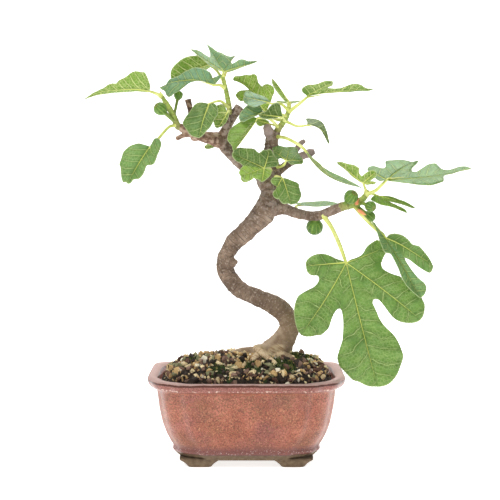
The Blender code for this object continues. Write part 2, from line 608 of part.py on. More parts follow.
def shoot_points(name):
    """A shoot's course: its flat foot meets the flat end of its wood across the gap."""
    wood, onward = SHOOTS[name]
    rows = limb_rows(wood)
    out = rows[-1, :3] - rows[-2, :3]
    out /= np.linalg.norm(out)
    radius = rows[-1, 3]
    return [[*(rows[-1, :3] + out * (GAP + further)), radius] for further in (0.0, 3.0)] + list(onward)


def shoot_rows(name):
    """A shoot's smooth course, straight where it leaves its wood."""
    foot_point, *onward = shoot_points(name)
    return np.vstack([foot_point, smooth_path(onward, SHOOT_STEPS)])


def build_shoots(group):
    for name in SHOOTS:
        shoot = tube(name, shoot_rows(name), SHOOT_SIDES, group)
        shoot.data.materials.append(material(name, "shoot"))
        shoot.data.shade_smooth()
        shoot.data.set_sharp_from_angle(angle=math.radians(SHOW_SMOOTH))


def stem_rows(name, between=8):
    """The faceted course of the stem that a leaf or a fig grows on, with points between its rows."""
    if name == "trunk":
        rows = smooth_path(TRUNK, TRUNK_STEPS)
    else:
        rows = shoot_rows(name) if name in SHOOTS else limb_rows(name)
    at = np.linspace(0, len(rows) - 1, (len(rows) - 1) * between + 1)
    return np.stack([np.interp(at, np.arange(len(rows)), column) for column in np.array(rows).T], axis=1)


def nearest_on_stem(stem, start, onward):
    """Where a stalk leaves its stem: the stem's middle there, its axis and radius, the stalk's way out."""
    rows = stem_rows(stem)
    nearest = int(np.argmin(np.linalg.norm(rows[:, :3] - np.array(start, dtype=float), axis=1)))
    middle = rows[nearest, :3]
    axis = rows[min(nearest + 1, len(rows) - 1), :3] - rows[max(nearest - 1, 0), :3]
    axis /= np.linalg.norm(axis)
    out = np.array(onward, dtype=float) - middle
    return middle, axis, rows[nearest, 3], out / np.linalg.norm(out), nearest == len(rows) - 1


def fig_start(stem, start, onward):
    """The end of a fig's straight stalk, the gap away from its stem."""
    middle, axis, thick, out, _ = nearest_on_stem(stem, start, onward)
    along = abs(float(out @ axis))
    return middle + out * (thick + GAP + STALK_END * along) / math.sqrt(1 - along**2)


def petiole_starts(stem, start, onward, radius):
    """The first points of a petiole: square off its stem, or on past the stem's end."""
    middle, axis, thick, out, at_end = nearest_on_stem(stem, start, onward)
    along = float(out @ axis)
    if at_end and along > PAST_END:
        return [middle + out * (GAP + max(thick, radius) * math.sqrt(1 - along**2))]
    square = out - axis * along
    square /= np.linalg.norm(square)
    return [middle + square * (thick + GAP), middle + square * (thick + GAP + 2.2 * radius)]


def frame_from(forward, face):
    """Right, forward and up directions of a leaf from where it points and where its face looks."""
    ahead = np.array(forward, dtype=float)
    ahead /= np.linalg.norm(ahead)
    up = np.array(face, dtype=float)
    up -= ahead * float(up @ ahead)
    up /= np.linalg.norm(up)
    return np.cross(ahead, up), ahead, up


def lobe_margin(notch, lobe, side, count, tip):
    """Points of one side of a lobe's margin, from the notch beside it to its tip.

    A cubic runs from the notch past the neck to the widest place, and a quarter of an ellipse from
    there to the tip. side is +1 right of the lobe's vein and -1 left of it.
    """
    angle, length, neck, left, right_width, widest_at = lobe
    widest = right_width if side > 0 else left
    turn = math.radians(angle)
    ahead = np.array([math.sin(turn), math.cos(turn)])
    right = np.array([math.cos(turn), -math.sin(turn)]) * side
    u0 = float(notch @ ahead)
    v0 = float(notch @ right)
    u3 = widest_at * length
    inner = count // 2
    if len_of(notch) == 0:
        heart = angle == 0
        u_points = (0, -0.10 * length if heart else 0.3 * u3, 0.35 * u3 if heart else 0.6 * u3, u3)
        v_points = (0, min(neck, widest) if heart else 0.35 * widest, widest, widest)
    elif u3 > u0 + 0.04:
        u_points = (u0, u0 + 0.45 * (u3 - u0), u0 + 0.6 * (u3 - u0), u3)
        v_points = (v0, min(neck, v0), widest, widest)
    else:
        inner = 0
        u3 = u0
        widest = v0
        u_points = v_points = (0, 0, 0, 0)
    share = np.linspace(0, 1, inner + 1)[:-1]
    weights = np.stack([(1 - share)**3, 3 * share * (1 - share)**2, 3 * share**2 * (1 - share), share**3])
    u = weights.T @ np.array(u_points)
    v = weights.T @ np.array(v_points)
    round_off = np.linspace(0, math.pi / 2, count - inner + 1)
    u = np.concatenate([u, u3 + (length - u3) * np.sin(round_off)])
    v = np.concatenate([v, widest * np.cos(round_off).clip(0)**tip])
    return u[:, None] * ahead + v[:, None] * right


def len_of(vector):
    return float(np.linalg.norm(vector))


def blade_sheet(shape, along, across):
    """The flat blade, as corner points and faces, in lengths of the middle vein.

    Each half lobe is a grid: a row runs from a point of the lobe's vein to a point of its margin.
    """
    lobes = SHAPES[shape]["lobes"]
    notches = [radius * np.array([math.sin(math.radians(a)), math.cos(math.radians(a))])
               for a, radius in SHAPES[shape]["notches"]]
    foot_point = np.zeros(2)
    borders = [foot_point] + notches + [foot_point]
    corners = []
    faces = []
    for number, lobe in enumerate(lobes):
        for side, notch in ((-1, borders[number]), (1, borders[number + 1])):
            margin = lobe_margin(notch, lobe, side, along, SHAPES[shape].get("tip", 1.0))
            turn = math.radians(lobe[0])
            share = np.linspace(0, 1, along + 1) ** 1.1
            vein = share[:, None] * lobe[1] * VEIN_SPAN * np.array([math.sin(turn), math.cos(turn)])
            t = np.linspace(0, 1, across + 1)[None, :, None]
            grid = vein[:, None, :] * (1 - t) + margin[:, None, :] * t
            first = len(corners)
            corners.extend(grid.reshape(-1, 2))
            wide = across + 1
            for i in range(along):
                for j in range(across):
                    a = first + i * wide + j
                    quad = (a, a + 1, a + 1 + wide, a + wide)
                    faces.append(quad if side > 0 else quad[::-1])
    return np.array(corners), faces


def bend_blade(flat, length, bend, fold, arch):
    """Shape a flat blade: fold its halves, arch them across and bend it along the middle vein."""
    x = flat[:, 0] * length
    y = flat[:, 1] * length
    half_width = 0.5 * length
    curve_across = math.radians(max(abs(arch), 0.01)) / half_width
    reach = np.abs(x)
    out = np.sin(curve_across * reach) / curve_across
    drop = -(1 - np.cos(curve_across * reach)) / curve_across * np.sign(arch or 1)
    lift = math.radians(fold)
    side = (out * math.cos(lift) - drop * math.sin(lift)) * np.sign(x)
    up = out * math.sin(lift) + drop * math.cos(lift)
    curve_along = math.radians(bend if abs(bend) > 0.01 else 0.01) / length
    angle = curve_along * y
    radius = 1 / curve_along
    ahead = (radius + up) * np.sin(angle)
    height = (radius + up) * np.cos(angle) - radius
    return np.stack([side, ahead, height], axis=1)


def build_leaf(name, spec, group, cutters):
    """One leaf: a thin bent blade with its petiole grown into the foot."""
    shape, length, stem, course, forward, face, (bend, fold, arch) = spec
    right, ahead, up = frame_from(forward, face)
    fine = length > FINE_FROM
    flat, faces = blade_sheet(shape, 6 if fine else 4, 2 if length > WIDE_FROM else 1)
    bent = bend_blade(flat, length, bend, fold, arch)
    foot_at = np.array(course[-1], dtype=float)
    world = foot_at + bent[:, :1] * right + bent[:, 1:2] * ahead + bent[:, 2:] * up
    mesh = bpy.data.meshes.new(name)
    mesh.from_pydata((world * MM).tolist(), [], faces)
    work = bmesh.new()
    work.from_mesh(mesh)
    bmesh.ops.remove_doubles(work, verts=work.verts, dist=2e-5)
    bmesh.ops.dissolve_degenerate(work, edges=work.edges, dist=1e-5)
    bmesh.ops.triangulate(work, faces=work.faces)
    work.to_mesh(mesh)
    work.free()
    leaf = place(name, mesh, group, "leaf")
    solid = leaf.modifiers.new("thickness", "SOLIDIFY")
    solid.thickness = BLADE_THICK * MM
    solid.offset = 0.0
    solid.use_even_offset = False
    bake_modifiers(leaf)
    base_radius, end_radius = PETIOLE_RADIUS
    starts = petiole_starts(stem, course[0], course[1], base_radius)
    end = foot_at + ahead * max(0.05 * length, 2.0) - up * 0.2
    middle = [list(p) for p in course[1:-1]]
    route = [list(p) for p in starts] + middle + [list(foot_at - up * 0.3), list(end)]
    radii = np.linspace(base_radius, end_radius, len(route))
    steps = 2 if math.dist(starts[0], end) > LONG_PETIOLE else 1
    route = [(*p, r) for p, r in zip(route, radii)]
    straight = len(starts) - 1
    rows = np.vstack(route[:straight] + [smooth_path(route[straight:], steps)])
    petiole = tube(name + " petiole", rows, STALK_SIDES, cutters)
    combine(leaf, [petiole], "UNION", "MANIFOLD")
    leaf.data.shade_smooth()
    leaf.data.set_sharp_from_angle(angle=math.radians(SHOW_SMOOTH))
    return leaf


def build_fig(name, spec, group):
    """A fig turned on its own axis, with its stalk, pointing away from its stem."""
    start, middle, diameter, stem = spec
    start = fig_start(stem, start, middle)
    axis = np.array(middle, dtype=float) - start
    reach = float(np.linalg.norm(axis))
    neck = min(1.0, (reach - 2.0) / (-FIG_SECTION[-1][1] * diameter))
    section = [(r * diameter, h * diameter * (neck if h < 0 else 1.0)) for r, h in FIG_SECTION]
    section += [(STALK_RADIUS, -reach + 1.0), (STALK_END, -reach), (0.0, -reach)]
    mesh = bpy.data.meshes.new(name)
    links = [(i, i + 1) for i in range(len(section) - 1)]
    mesh.from_pydata([(r * MM, 0, h * MM) for r, h in section], links, [])
    fig = place(name, mesh, group, "fig")
    screw = fig.modifiers.new("turn", "SCREW")
    screw.steps = FIG_STEPS
    screw.render_steps = FIG_STEPS
    screw.use_merge_vertices = True
    screw.merge_threshold = 1e-5
    screw.use_normal_calculate = False
    bake_modifiers(fig)
    weld(fig.data)
    turn = Vector((0, 0, 1)).rotation_difference(Vector(axis)).to_matrix().to_4x4()
    fig.data.transform(Matrix.Translation(Vector(middle) * MM) @ turn)
    fig.data.shade_smooth()
    fig.data.set_sharp_from_angle(angle=math.radians(SHOW_SMOOTH))
    return fig


def carry_to_origin(group):
    """Hang every piece on one empty that brings the middle of the plant's box to the origin."""
    lows = []
    highs = []
    for piece in group.objects:
        corners = np.array([piece.matrix_world @ v.co for v in evaluated_mesh(piece).vertices])
        lows.append(corners.min(axis=0))
        highs.append(corners.max(axis=0))
    low = np.min(lows, axis=0)
    high = np.max(highs, axis=0)
    origin = bpy.data.objects.new("bonsai origin", None)
    for piece in list(group.objects):
        piece.parent = origin
    group.objects.link(origin)
    origin.location = (-(low[0] + high[0]) / 2, -(low[1] + high[1]) / 2, -low[2])
    print("origin shift", tuple(round(c, 6) for c in origin.location), "size", (high - low).round(4))


def main():
    clear_scene()
    group = new_collection("fig bonsai")
    cutters = new_collection("cutters")
    build_pot(group, cutters)
    build_screens(group)
    build_soil(group, cutters)
    build_wood(group, cutters)
    build_shoots(group)
    for name, spec in FIGS.items():
        build_fig(name, spec, group)
    for name, spec in LEAVES.items():
        build_leaf(name, spec, group, cutters)
    bpy.context.view_layer.update()
    carry_to_origin(group)


main()
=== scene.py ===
"""Looks of a fig bonsai: glazed pot, gravel and moss, bark, green shoots, figs and leaves.

Lengths are in millimetres round the middle of the pot's footprint, as in the part's source, and
metres() carries them into the frame.
"""

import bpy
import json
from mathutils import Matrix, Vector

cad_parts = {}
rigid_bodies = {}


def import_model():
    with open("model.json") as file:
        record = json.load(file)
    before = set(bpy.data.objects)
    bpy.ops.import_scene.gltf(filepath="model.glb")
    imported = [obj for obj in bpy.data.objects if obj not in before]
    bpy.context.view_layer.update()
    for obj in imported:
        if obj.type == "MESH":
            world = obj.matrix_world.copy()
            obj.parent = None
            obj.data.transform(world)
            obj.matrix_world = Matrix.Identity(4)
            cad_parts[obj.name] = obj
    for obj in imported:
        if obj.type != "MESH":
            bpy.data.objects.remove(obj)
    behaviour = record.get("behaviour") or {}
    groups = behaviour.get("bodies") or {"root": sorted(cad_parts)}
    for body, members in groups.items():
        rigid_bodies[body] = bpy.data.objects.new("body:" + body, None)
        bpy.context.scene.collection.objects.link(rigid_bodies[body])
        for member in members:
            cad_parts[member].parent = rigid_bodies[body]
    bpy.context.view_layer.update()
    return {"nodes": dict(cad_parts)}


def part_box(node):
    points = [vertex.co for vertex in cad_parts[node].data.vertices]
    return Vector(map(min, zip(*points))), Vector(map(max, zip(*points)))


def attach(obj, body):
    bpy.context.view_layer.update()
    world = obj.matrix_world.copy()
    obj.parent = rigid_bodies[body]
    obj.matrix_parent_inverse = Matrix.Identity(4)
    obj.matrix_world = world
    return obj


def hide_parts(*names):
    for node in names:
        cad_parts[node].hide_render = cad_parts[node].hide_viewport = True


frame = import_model()

import itertools
import json
import math

import bmesh
import bpy
import numpy as np
from mathutils import Vector

MM = 0.001
SEED = 41
POT_LOW, POT_HIGH = (np.array(corner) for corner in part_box("pot"))
SOLE_Z = -4.0  # height of the feet's soles
POT_MIDDLE = np.array([*(POT_LOW + POT_HIGH)[:2] / 2, POT_LOW[2] - SOLE_Z * MM])

# Camera: where it stands, how many degrees it looks down, its lens and its sensor's width
CAMERA_AT = (3.7, -1300.0, 300.0)
CAMERA_PITCH = 3.63
CAMERA_LENS = 89.35
SENSOR_WIDTH = 36.0
# The photo, in which OUTLINES is drawn: its size each way and that lens, in its pixels
PHOTO_SIZE = 500
PHOTO_LENS = 1241.0

# Pot: half length and half depth over the rim, then (inset from the rim's outline, height)
RIM_X = 102.4
RIM_Y = 77.0
POT_OUTSIDE = (
    (33.0, 4.0), (30.5, 6.5), (25.0, 12.5), (26.2, 16.0), (23.6, 20.5), (19.2, 29.5),
    (15.2, 41.0), (12.0, 57.0), (9.6, 77.0), (3.0, 78.6), (1.0, 81.0), (0.0, 85.6),
    (1.4, 88.0),
)
POT_INSIDE = (
    (9.0, 87.4), (10.6, 85.0), (16.6, 76.0), (19.6, 55.0), (26.4, 30.0), (33.0, 17.0), (40.0, 11.0),
)
# Outline of a quarter of the rim: (inset from the half length, share of the half depth)
CORNER = (
    (0.0, 0.0), (0.0, 0.40), (0.3, 0.49), (2.0, 0.545), (4.6, 0.595), (6.2, 0.68), (9.6, 0.77),
    (15.0, 0.845), (21.0, 0.885), (26.0, 0.905), (28.6, 0.955), (31.5, 0.993), (36.0, 1.0),
)
AROUND_POT = 340  # points round the pot
SOFT_EDGE = 1.4  # mm by which the glaze rounds the pot's edges
BASE_Z = 4.0
FLOOR_Z = 11.0
RIM_FROM_Z = 77.0
RIM_TOP_Z = 88.0
RIM_LIFT = 2.2  # how much higher the rim's two ends stand
UNEVEN = ((34.0, 0.35, 3), (9.0, 0.12, 4))  # lumps of the pot's wall: size, height and seed
# Feet: their middles, the sole's half sizes, then (height over the sole, how much further out in x),
# and the share of that in y
FOOT_X = 48.0
FOOT_Y = 30.0
FOOT_SOLE = (12.5, 10.0)
FOOT_STEPS = ((0.0, -0.6), (0.5, 0.0), (3.0, 2.2), (5.5, 5.2), (7.2, 8.2), (9.5, 8.5))
FOOT_SHARE_Y = 0.42
# Drain holes: their middles, radius and the heights between which they are cut
DRAIN_X = 36.0
DRAIN_RADIUS = 8.0
DRAIN_CUT = (-2.0, 22.0)

SOIL_EDGE_Z = 82.0
SOIL_BOTTOM_Z = 12.6
SOIL_CLEARANCE = 0.5
FILL_RISE = 21.0
HILL_RISE = 7.5
HILL_AT = (14.0, 4.0)
HILL_SPREAD = (60.0, 48.0)
SINK_AT_WALL = 2.2  # how much deeper grains and moss lie at the wall
GRAIN_PITCH = 4.5  # mm between the grains' middles
EXTRA_GRAINS = 620  # further grains near the wall
MOSS_PITCH = 1.15
MOSS_SPREAD = 10.0  # of the bell that each patch of moss is
MOSS_AT = ((24, -30), (0, -42), (-30, -44), (44, -36), (52, -6), (-56, 2), (62, 18), (-14, 24),
           (36, 34))

# Lamps: name, place, width, power, colour
LAMPS = (
    ("key", (-700, -1000, 1400), 700, 15.0, "#FFFDF8"),
    ("fill", (1100, -900, 500), 1000, 2.5, "#F6FAFF"),
    ("top_back", (200, 500, 1500), 800, 13.0, "#FFFFFF"),
)
LAMPS_LOOK_AT = (0, 0, 230)
# Paper sweep: half its width, where it starts to bend up, the bend's radius and its top
PAPER = (2600.0, 900.0, 700.0, 3600.0)

# Stipules and buds: foot, tip and greatest radius
BUDS = (
    ((114, -19, 266), (111.5, -23, 280), 2.4), ((115, -20, 260), (123, -27, 255), 2.0),
    ((43.5, 1, 364), (46.5, 0, 373), 1.4), ((-24, -5, 396), (-20, -7, 404), 1.3),
    ((-86, -9, 376), (-90, -8, 383), 1.3),
)
# Wood: (x, y, z, radius) along each limb, from where it starts
TRUNK = (
    (20, 1, 62, 11.5), (20, 0, 84, 13.5), (24, 0, 100, 14.5), (31, 0, 112, 13.6), (40, -2, 125, 11.6),
    (45, -4, 138, 10.6), (39.5, -4, 152, 10.2), (27, -3, 161, 9.6), (10, -2, 168, 9.0),
    (-5, 0, 175, 8.6), (-16, 2, 185, 9.2), (-22, 3, 198, 8.8), (-22, 3, 210, 8.4), (-16, 2, 222, 8.8),
    (-6, 1, 232, 9.6), (6, 0, 243, 10.2), (16, 0, 254, 11.6), (23, 0, 266, 12.0), (26.5, 1, 280, 10.4),
    (27.5, 2, 293, 9.6), (26, 4, 308, 8.0), (25, 5, 322, 6.6), (27, 6, 333, 5.0),
)
LIMBS = {
    "right branch": (
        (22, 0, 262, 7.5), (38, -3, 261, 5.6), (52, -6, 256.5, 5.3), (64, -8, 254, 5.0),
        (76, -10, 254.5, 4.9), (88, -12, 259, 4.7), (97, -13, 262.5, 4.6),
    ),
    "left branch": (
        (25, 2, 286, 8.0), (15, 6, 297, 6.6), (2, 9, 303, 6.2), (-7, 9, 309, 6.0), (-15, 8, 317, 5.9),
        (-23, 6, 327, 6.2), (-26, 5, 335, 6.0),
    ),
    "left twig": (
        (-24, 6, 332, 5.6), (-36, 2, 334.5, 5.4), (-48, -1, 336, 4.6), (-59, -3, 340, 4.2),
        (-69, -4, 346, 3.6),
    ),
    "pruned stump": ((-27, 6, 331, 5.2), (-22, 3, 343, 4.9), (-15, 1, 356, 4.6), (-7.5, -2, 367, 4.7)),
    "top spur": ((-24, 5, 336, 4.2), (-21, -4, 349, 3.4), (-18.4, -7, 360, 2.8)),
    "grey stump": ((-52, 1, 335, 4.0), (-57, 7, 352, 3.1), (-59, 10, 364, 3.0), (-61.5, 11, 375, 3.3)),
    "twig nub": ((-60, -3, 340, 2.6), (-66, -6, 337, 2.2), (-72, -8, 334, 2.3)),
    "centre spur": ((26, 6, 326, 5.2), (29, 5.5, 334, 4.0), (32, 4.6, 341, 3.4)),
    "round stub": ((26, 5, 330, 4.0), (25, 2, 337, 4.2), (23.5, -1, 341, 5.2), (22, -3, 345, 4.4)),
    "right stub": ((27, 2, 297, 5.0), (37, 3, 303, 4.2), (48, 1, 311, 4.0), (58, 0, 316, 3.8),
                   (66, 0, 319, 4.2), (71, 0, 320.5, 2.8)),
    "dark stub": ((46, 1, 309, 3.4), (51, 6, 320, 2.8), (57, 10, 329, 2.9), (61, 12, 332, 2.2)),
    "knob low": ((-22, 2, 203, 6.0), (-15, -5, 205, 4.4), (-11.5, -8, 205.5, 2.2)),
    "root right": ((22, 0, 103, 9.0), (35, -10, 107.5, 5.0), (47, -17, 104.5, 3.6), (60, -24, 93, 2.4)),
    "root front": ((20, 0, 103, 9.0), (15, -13, 108.5, 5.6), (9, -24, 106.5, 4.0), (2, -36, 95, 2.6)),
    "root pale": ((20, -4, 112, 5.0), (10.5, -13, 115.5, 3.8), (15, -22, 112.5, 3.6), (22, -30, 108, 3.3),
                  (29, -37, 103, 2.8), (34, -42, 96, 2.2)),
    "root left": ((20, 0, 103, 9.0), (3, 3, 109, 5.2), (-11, 8, 107.5, 3.6), (-27, 12, 96, 2.6)),
    "root back": ((22, 2, 103, 9.0), (29, 14, 109, 5.0), (35, 26, 106, 3.6), (41, 40, 93, 2.6)),
}

# Green shoots: the wood whose end each continues, and (x, y, z, radius) from there to its tip
SHOOTS = {
    "shoot_top": ("top spur", ((-18.5, -7, 370, 2.6), (-21, -6, 383, 2.3), (-24, -5, 397, 1.7))),
    "shoot_left": ("left twig", ((-76, -6, 358, 3.1), (-82, -8, 368, 3.0), (-87, -9, 377, 1.8))),
    "shoot_centre": ("centre spur", ((37, 3, 349, 3.0), (42, 2, 357, 2.6), (44.5, 1, 366, 1.7))),
    "shoot_right": ("right branch", ((106, -14, 265, 4.4), (114, -15, 267, 4.2), (121, -16, 272, 3.3),
                                     (125, -16, 279, 2.0))),
}

# Figs: where the stalk starts, the middle of the body, the body's diameter, and what it grows on
FIGS = {
    "fig_left_low": ((-70, -6, 352), (-88.5, -17, 364), 13.2, "shoot_left"),
    "fig_left_high": ((-73, -6, 357), (-71, 2, 379), 9.4, "shoot_left"),
    "fig_branch_top": ((99, -17, 265), (107.5, -23, 273.5), 14.4, "shoot_right"),
    "fig_tip_front": ((117, -15, 268), (127, -29, 264), 11.4, "shoot_right"),
    "fig_tip_low": ((112, -14, 266), (127.5, -15, 253), 11.8, "shoot_right"),
    "fig_branch_under": ((72, -8, 253), (71.5, -1, 242.5), 17.5, "right branch"),
}
# Turned half section of a fig of diameter 1, from its eye to the foot of its stalk: (radius, height)
FIG_SECTION = (
    (0.0, 0.46), (0.08, 0.455), (0.13, 0.50), (0.30, 0.44), (0.45, 0.27), (0.50, 0.04), (0.44, -0.22),
    (0.29, -0.46), (0.17, -0.62),
)

# Plain leaves of one lobe, in lengths of the leaf: half width near the foot, greatest half width and
# where along the leaf that is
PLAIN_SHAPES = {"oval": (0.34, 0.38, 0.50), "round": (0.46, 0.50, 0.46), "slim": (0.15, 0.19, 0.48)}

# Leaves: shape, either drawn in OUTLINES or a plain one, length of the middle vein, what it grows on,
# the petiole's course to the leaf's foot, where the middle vein points, where the upper face looks,
# and three angles in degrees: bend along the middle vein (+ back), fold of the halves towards the
# upper face, arch across (+ back)
LEAVES = {
    "leaf_left_far": ("drawn", 69, "shoot_left", ((-88, -9, 378), (-94, -11, 380.5), (-101, -12, 383)),
                      (-1, -0.05, 0.20), (0, 0.53, 0.85), (38, 12, 4)),
    "leaf_left_hanging": ("drawn", 47, "shoot_left", ((-71, -5, 349), (-81, -12, 345), (-90, -20, 334),
                                                    (-98, -26, 325)),
                          (-0.55, -0.12, -0.82), (-0.25, -1, 0.25), (8, 16, 20)),
    "leaf_left_round": ("drawn", 36, "shoot_top", ((-18, -7, 365), (-27, -18, 372), (-38, -26, 369)),
                        (-0.30, -0.20, -0.93), (-0.1, -1, 0.25), (10, 10, 30)),
    "leaf_left_small": ("drawn", 18, "shoot_top", ((-18, -7, 362), (-19, -13, 362), (-19.5, -16, 360)),
                        (-0.70, -0.05, -0.55), (0.1, 1, 0.3), (5, 10, 10)),
    "leaf_top": ("drawn", 43, "shoot_top", ((-24, -5, 397), (-24, -5, 400), (-24, -5, 403)),
                 (-0.38, 0.58, 0.72), (0.15, -0.72, 0.66), (4, 12, 0)),
    "leaf_top_curled": ("drawn", 61, "shoot_top", ((-22, -5, 386), (-28, -10, 389), (-33.5, -14, 388.6)),
                        (-0.95, -0.12, 0.28), (0.2, -0.83, 0.52), (46, 12, 12)),
    "leaf_top_back": ("oval", 42, "shoot_top", ((-23, -2, 392), (-31, 8, 405), (-40, 14, 412)),
                      (-0.93, 0.1, -0.28), (0, 0.55, 0.83), (10, 22, 0)),
    "leaf_centre_lime": ("drawn", 50, "shoot_centre", ((40, 4, 353), (30, 13, 355), (21, 20, 362)),
                         (-0.58, 0.2, 0.74), (0.3, 0.9, 0.3), (0, 10, 10)),
    "leaf_centre_blue": ("drawn", 38, "shoot_centre", ((44, -1, 363), (35, -7, 370), (26, -11, 370)),
                         (-1, -0.2, 0.12), (0, -0.5, 0.87), (16, 14, 10)),
    "leaf_centre_low": ("drawn", 27, "shoot_centre", ((42, -1, 357), (28, -9, 362), (17, -15, 361)),
                        (-0.95, -0.2, -0.3), (-0.2, -0.6, 0.8), (10, 14, 10)),
    "leaf_centre_dark": ("drawn", 25, "shoot_centre", ((39, -1, 352), (40, -14, 352), (37, -26, 355)),
                         (-0.95, -0.25, -0.1), (0.1, -0.75, 0.65), (10, 24, 10)),
    "leaf_centre_hanging": ("drawn", 44, "shoot_centre", ((35, 1, 344), (24, -10, 354), (12, -17, 355)),
                            (-0.62, -0.1, -0.78), (-0.6, -0.65, 0.3), (-10, 20, 0)),
    "leaf_centre_small": ("drawn", 15, "shoot_centre", ((34, 6, 345), (30, 10, 348), (24, 12, 350)),
                          (-1, 0.1, -0.15), (0, 0.7, 0.7), (10, 10, 10)),
    "leaf_centre_upright": ("slim", 29, "shoot_centre", ((44.5, 1, 366), (44.3, 1, 369), (43.5, 1, 373)),
                            (-0.5, 0.1, 0.85), (-0.8, 0.5, -0.4), (-10, 30, 0)),
    "leaf_centre_behind": ("oval", 34, "shoot_centre", ((43, 4, 361), (44, 12, 368), (43, 20, 373)),
                           (0.1, 0.98, 0.1), (0, -0.1, 1), (10, 8, 10)),
    "leaf_upper_right": ("drawn", 71, "shoot_centre", ((45, 0, 361), (55, -2, 370), (63, -3, 377)),
                         (1, 0, 0.17), (0, 0.22, 0.97), (6, 12, 6)),
    "leaf_right_bent": ("drawn", 32, "shoot_centre", ((41, 3, 352), (53, 1, 347), (63, -4, 348)),
                        (0.85, -0.2, -0.2), (0.25, -0.35, 0.9), (62, 14, 10)),
    "leaf_right_drooping": ("slim", 72, "centre spur", ((32, 5, 336), (42, -8, 334), (56, -15, 326),
                                                       (63, -16, 319)),
                            (0.48, 0.24, -0.84), (0.87, 0, 0.50), (-56, 12, 0)),
    "leaf_tip_edge": ("drawn", 47, "shoot_right", ((124, -13, 276), (129, -8, 277), (134, -4, 276)),
                      (0.95, 0.12, -0.30), (0.2, -0.66, 0.72), (4, 0, 0)),
    "leaf_branch_behind": ("oval", 46, "right branch", ((54, -4, 258), (52, 4, 263), (54, 12, 264)),
                           (1, 0.12, 0.05), (0, -0.12, 1), (4, 8, 10)),
    "leaf_middle_fan": ("drawn", 30, "trunk", ((32, -3, 303), (38, -10, 306), (41, -16, 311)),
                        (0.02, 0.70, 0.62), (0.1, -0.70, 0.70), (10, 10, 20)),
    "leaf_over_trunk": ("drawn", 29, "trunk", ((28, -6, 290), (31, -14, 295), (37, -21, 293)),
                        (0.2, -0.30, -0.93), (0.1, -0.95, 0.35), (12, 12, 20)),
    "leaf_middle_dark": ("drawn", 40, "trunk", ((27, -4, 299), (24, -14, 303), (18, -21, 303)),
                         (-0.82, -0.25, 0.42), (0, -1, 0.25), (10, 12, 20)),
    "leaf_middle_small": ("oval", 15, "trunk", ((20, -3, 292), (13, -8, 298), (7, -10, 299)),
                          (-0.8, -0.1, -0.55), (0, -1, 0.3), (10, 10, 10)),
    "leaf_tip_young": ("drawn", 36, "shoot_right", ((124, -17, 277), (122.5, -20, 282), (120, -22.4, 288)),
                       (-0.76, 0.1, 0.62), (0.45, 0.8, 0.4), (0, 20, 0)),
    "leaf_right_big": ("drawn", 88, "shoot_right", ((123, -17, 275), (134, -22, 281), (144.5, -26, 292)),
                       (1, 0.03, 0.14), (0, -0.36, 0.93), (3, 5, 5)),
    "leaf_right_folded": ("drawn", 72, "shoot_right", ((111, -16, 262), (122, -27, 251), (132, -37, 241),
                                                     (140.5, -45, 232)),
                          (0.52, -0.15, -0.84), (0.3, -0.85, 0.46), (8, 22, 4)),
    "leaf_biggest": ("drawn", 131, "right branch", ((80, -13, 253), (88, -21, 242), (95.5, -28.5, 225),
                                                    (102, -34, 206.5)),
                     (0.235, -0.12, -0.965), (-0.05, -1, 0.14), (5, 5, 14)),
    "leaf_twig_under": ("round", 14, "left twig", ((-37, 2, 334.5), (-34, 10, 332.5), (-31.5, 14.5, 330)),
                        (-0.9, -0.1, -0.42), (0, 0.4, -0.9), (5, 8, 10)),
}

